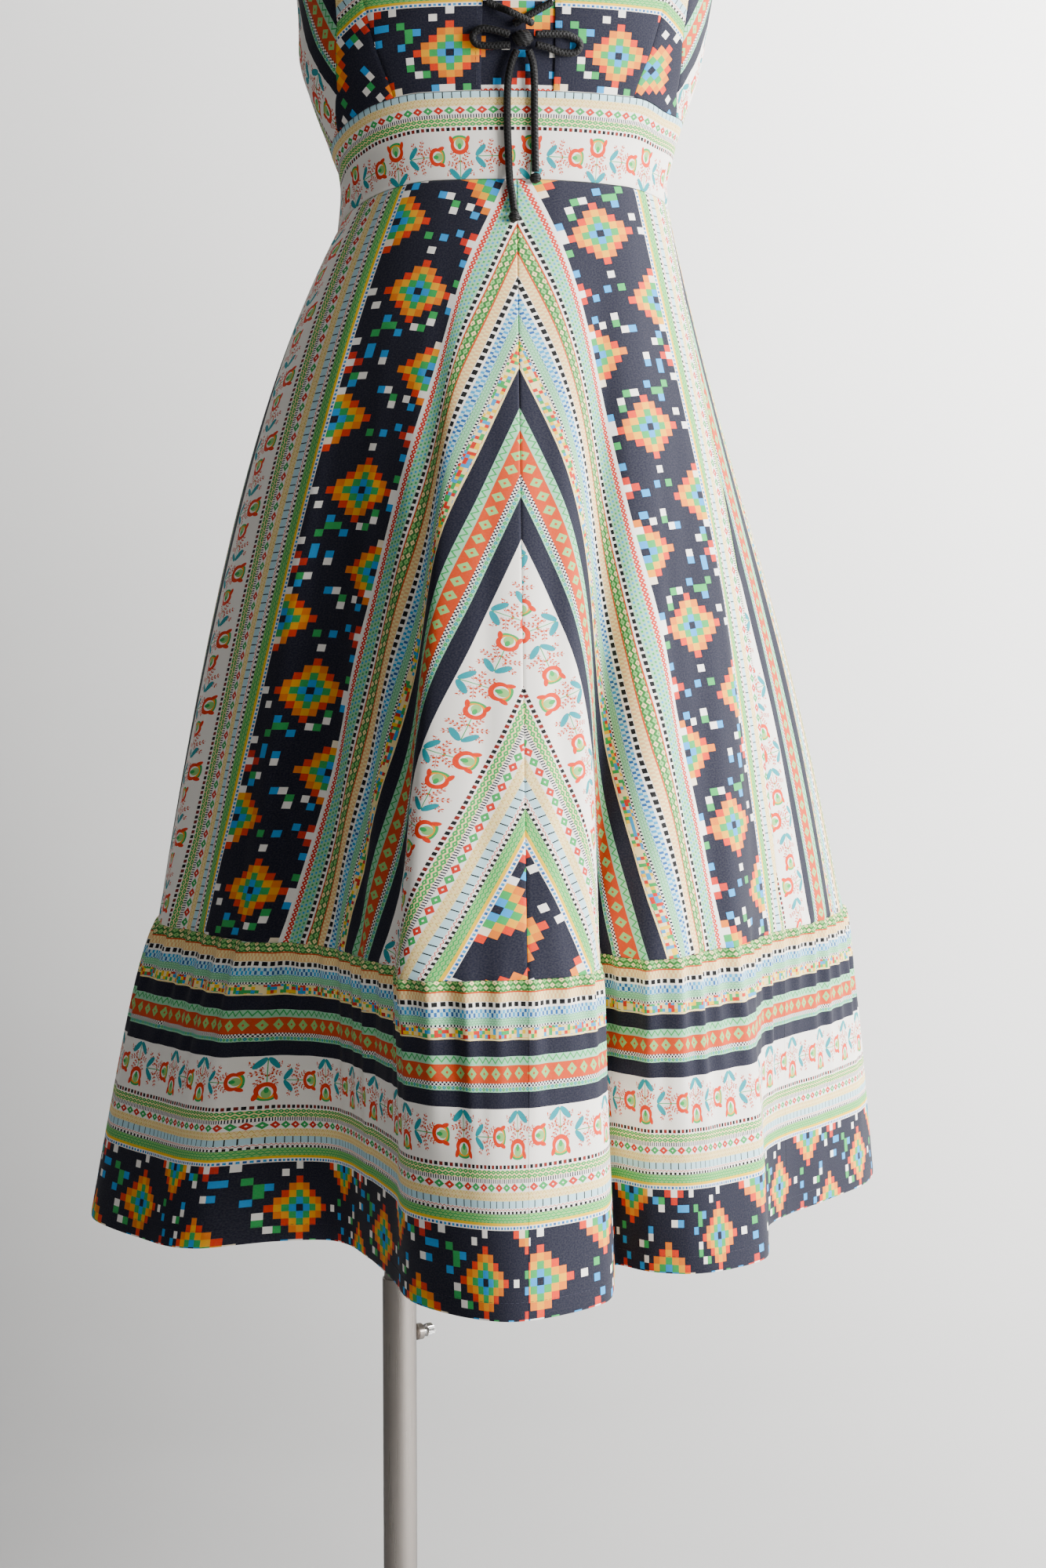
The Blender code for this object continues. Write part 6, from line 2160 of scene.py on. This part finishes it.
class DressSettings(bpy.types.PropertyGroup):
    """Sizes, colours and light of the dress that can be changed before it is made."""

    crease_depth: FloatProperty(
        name="Crease depth", description="Depth of the small folds, against the photo's",
        default=1.0, min=0.0, max=2.0, subtype="FACTOR",
    )
    gather_depth: FloatProperty(
        name="Gather depth", description="How far the flounce's gathers stand out",
        default=0.0032, min=0.0, max=0.004, unit="LENGTH",
    )
    stitch_pitch: FloatProperty(
        name="Stitch pitch", description="Distance from one machine stitch to the next",
        default=0.0034, min=0.002, max=0.01, unit="LENGTH",
    )
    stitch_length: FloatProperty(
        name="Stitch length", description="Length of thread that shows in one stitch",
        default=0.0026, min=0.001, max=0.009, unit="LENGTH",
    )
    stitch_thickness: FloatProperty(
        name="Thread thickness", description="Thickness of the sewing thread",
        default=0.0003, min=0.0002, max=0.001, unit="LENGTH",
    )
    lace_colour: FloatVectorProperty(
        name="Lace colour", description="Colour of the lace",
        default=(0.007, 0.007, 0.008), min=0.0, max=1.0, subtype="COLOR",
    )
    thread_colour: FloatVectorProperty(
        name="Thread colour", description="Colour of the sewing thread",
        default=(0.020, 0.022, 0.045), min=0.0, max=1.0, subtype="COLOR",
    )
    form_colour: FloatVectorProperty(
        name="Form colour", description="Colour of the jersey over the dress form",
        default=(0.80, 0.785, 0.75), min=0.0, max=1.0, subtype="COLOR",
    )
    key_light: FloatProperty(
        name="Window light", description="Power of the soft light from the right",
        default=290.0, min=0.0, unit="POWER",
    )
    fill_light: FloatProperty(
        name="Fill light", description="Power of the weak light from the left",
        default=3.0, min=0.0, unit="POWER",
    )
    wall_light: FloatProperty(
        name="Wall light", description="Power of the light that falls on the backdrop",
        default=280.0, min=0.0, unit="POWER",
    )
    room_light: FloatProperty(
        name="Room light", description="Strength of the light from all round",
        default=0.22, min=0.0, subtype="FACTOR",
    )


class DRESS_OT_mix_looks(bpy.types.Operator):
    """Make the printed cotton, the lace, the jersey, the metals and the paper"""

    bl_idname = "dress.mix_looks"
    bl_label = "Mix the materials"

    def execute(self, context):
        mix_looks()
        return {"FINISHED"}


class DRESS_OT_build_stand(bpy.types.Operator):
    """Make the base plate, its hub, the two tubes, the nut and the clamp screw"""

    bl_idname = "dress.build_stand"
    bl_label = "Build the stand"

    def execute(self, context):
        build_stand()
        return {"FINISHED"}


class DRESS_OT_build_form(bpy.types.Operator):
    """Make the limbless torso, its neck cap and its pole socket"""

    bl_idname = "dress.build_form"
    bl_label = "Build the form"

    def execute(self, context):
        build_form()
        return {"FINISHED"}


class DRESS_OT_sew_bodice(bpy.types.Operator):
    """Sew the six bodice panels and the underlay behind the lacing"""

    bl_idname = "dress.sew_bodice"
    bl_label = "Sew the bodice"

    def execute(self, context):
        sew_bodice()
        sew_underlay()
        return {"FINISHED"}


class DRESS_OT_sew_midriff(bpy.types.Operator):
    """Sew the three pieces of the midriff band"""

    bl_idname = "dress.sew_midriff"
    bl_label = "Sew the midriff band"

    def execute(self, context):
        sew_midriff()
        return {"FINISHED"}


class DRESS_OT_sew_skirt(bpy.types.Operator):
    """Sew the four flared gores of the skirt"""

    bl_idname = "dress.sew_skirt"
    bl_label = "Sew the skirt"

    def execute(self, context):
        sew_skirt()
        return {"FINISHED"}


class DRESS_OT_sew_flounce(bpy.types.Operator):
    """Gather the four strips of the flounce and sew them on"""

    bl_idname = "dress.sew_flounce"
    bl_label = "Sew the flounce"

    def execute(self, context):
        sew_flounce()
        return {"FINISHED"}


class DRESS_OT_thread_lacing(bpy.types.Operator):
    """Thread the lace across the front opening"""

    bl_idname = "dress.thread_lacing"
    bl_label = "Thread the lacing"

    def execute(self, context):
        thread_lacing()
        return {"FINISHED"}


class DRESS_OT_tie_bow(bpy.types.Operator):
    """Tie the bow with its two loops and its two knotted ends"""

    bl_idname = "dress.tie_bow"
    bl_label = "Tie the bow"

    def execute(self, context):
        tie_bow()
        return {"FINISHED"}


class DRESS_OT_set_zip(bpy.types.Operator):
    """Set the centre back zip with its slider and pull tab"""

    bl_idname = "dress.set_zip"
    bl_label = "Set the zip"

    def execute(self, context):
        set_zip()
        return {"FINISHED"}


class DRESS_OT_stitch_seams(bpy.types.Operator):
    """Run the machine stitches along the hem, the neck and the armholes, and the zip's coil"""

    bl_idname = "dress.stitch_seams"
    bl_label = "Stitch the seams"

    def execute(self, context):
        stitch_seams()
        return {"FINISHED"}


class DRESS_OT_build_stage(bpy.types.Operator):
    """Set the camera, the backdrop and the lights"""

    bl_idname = "dress.build_stage"
    bl_label = "Build the stage"

    def execute(self, context):
        build_stage()
        return {"FINISHED"}


OPERATORS = (
    DRESS_OT_mix_looks,
    DRESS_OT_build_stand,
    DRESS_OT_build_form,
    DRESS_OT_sew_bodice,
    DRESS_OT_sew_midriff,
    DRESS_OT_sew_skirt,
    DRESS_OT_sew_flounce,
    DRESS_OT_thread_lacing,
    DRESS_OT_tie_bow,
    DRESS_OT_set_zip,
    DRESS_OT_stitch_seams,
    DRESS_OT_build_stage,
)


class DRESS_PT_panel(bpy.types.Panel):
    """Settings of the dress and one button for each step"""

    bl_idname = "DRESS_PT_panel"
    bl_label = "Day dress"
    bl_space_type = "VIEW_3D"
    bl_region_type = "UI"
    bl_category = "Dress"

    def draw(self, context):
        layout = self.layout
        values = context.scene.day_dress
        for field in values.bl_rna.properties:
            if not field.is_readonly and field.identifier != "name":
                layout.prop(values, field.identifier)
        for operator in OPERATORS:
            layout.operator(operator.bl_idname)


CLASSES = (DressSettings, *OPERATORS, DRESS_PT_panel)


def register():
    for item in CLASSES:
        bpy.utils.register_class(item)
    bpy.types.Scene.day_dress = PointerProperty(type=DressSettings)


def unregister():
    del bpy.types.Scene.day_dress
    for item in reversed(CLASSES):
        bpy.utils.unregister_class(item)


def main():
    register()
    bpy.ops.dress.mix_looks()
    bpy.ops.dress.build_stand()
    bpy.ops.dress.build_form()
    bpy.ops.dress.sew_bodice()
    bpy.ops.dress.sew_midriff()
    bpy.ops.dress.sew_skirt()
    bpy.ops.dress.sew_flounce()
    bpy.ops.dress.thread_lacing()
    bpy.ops.dress.tie_bow()
    bpy.ops.dress.set_zip()
    bpy.ops.dress.stitch_seams()
    bpy.ops.dress.build_stage()


if __name__ == "__main__":
    main()
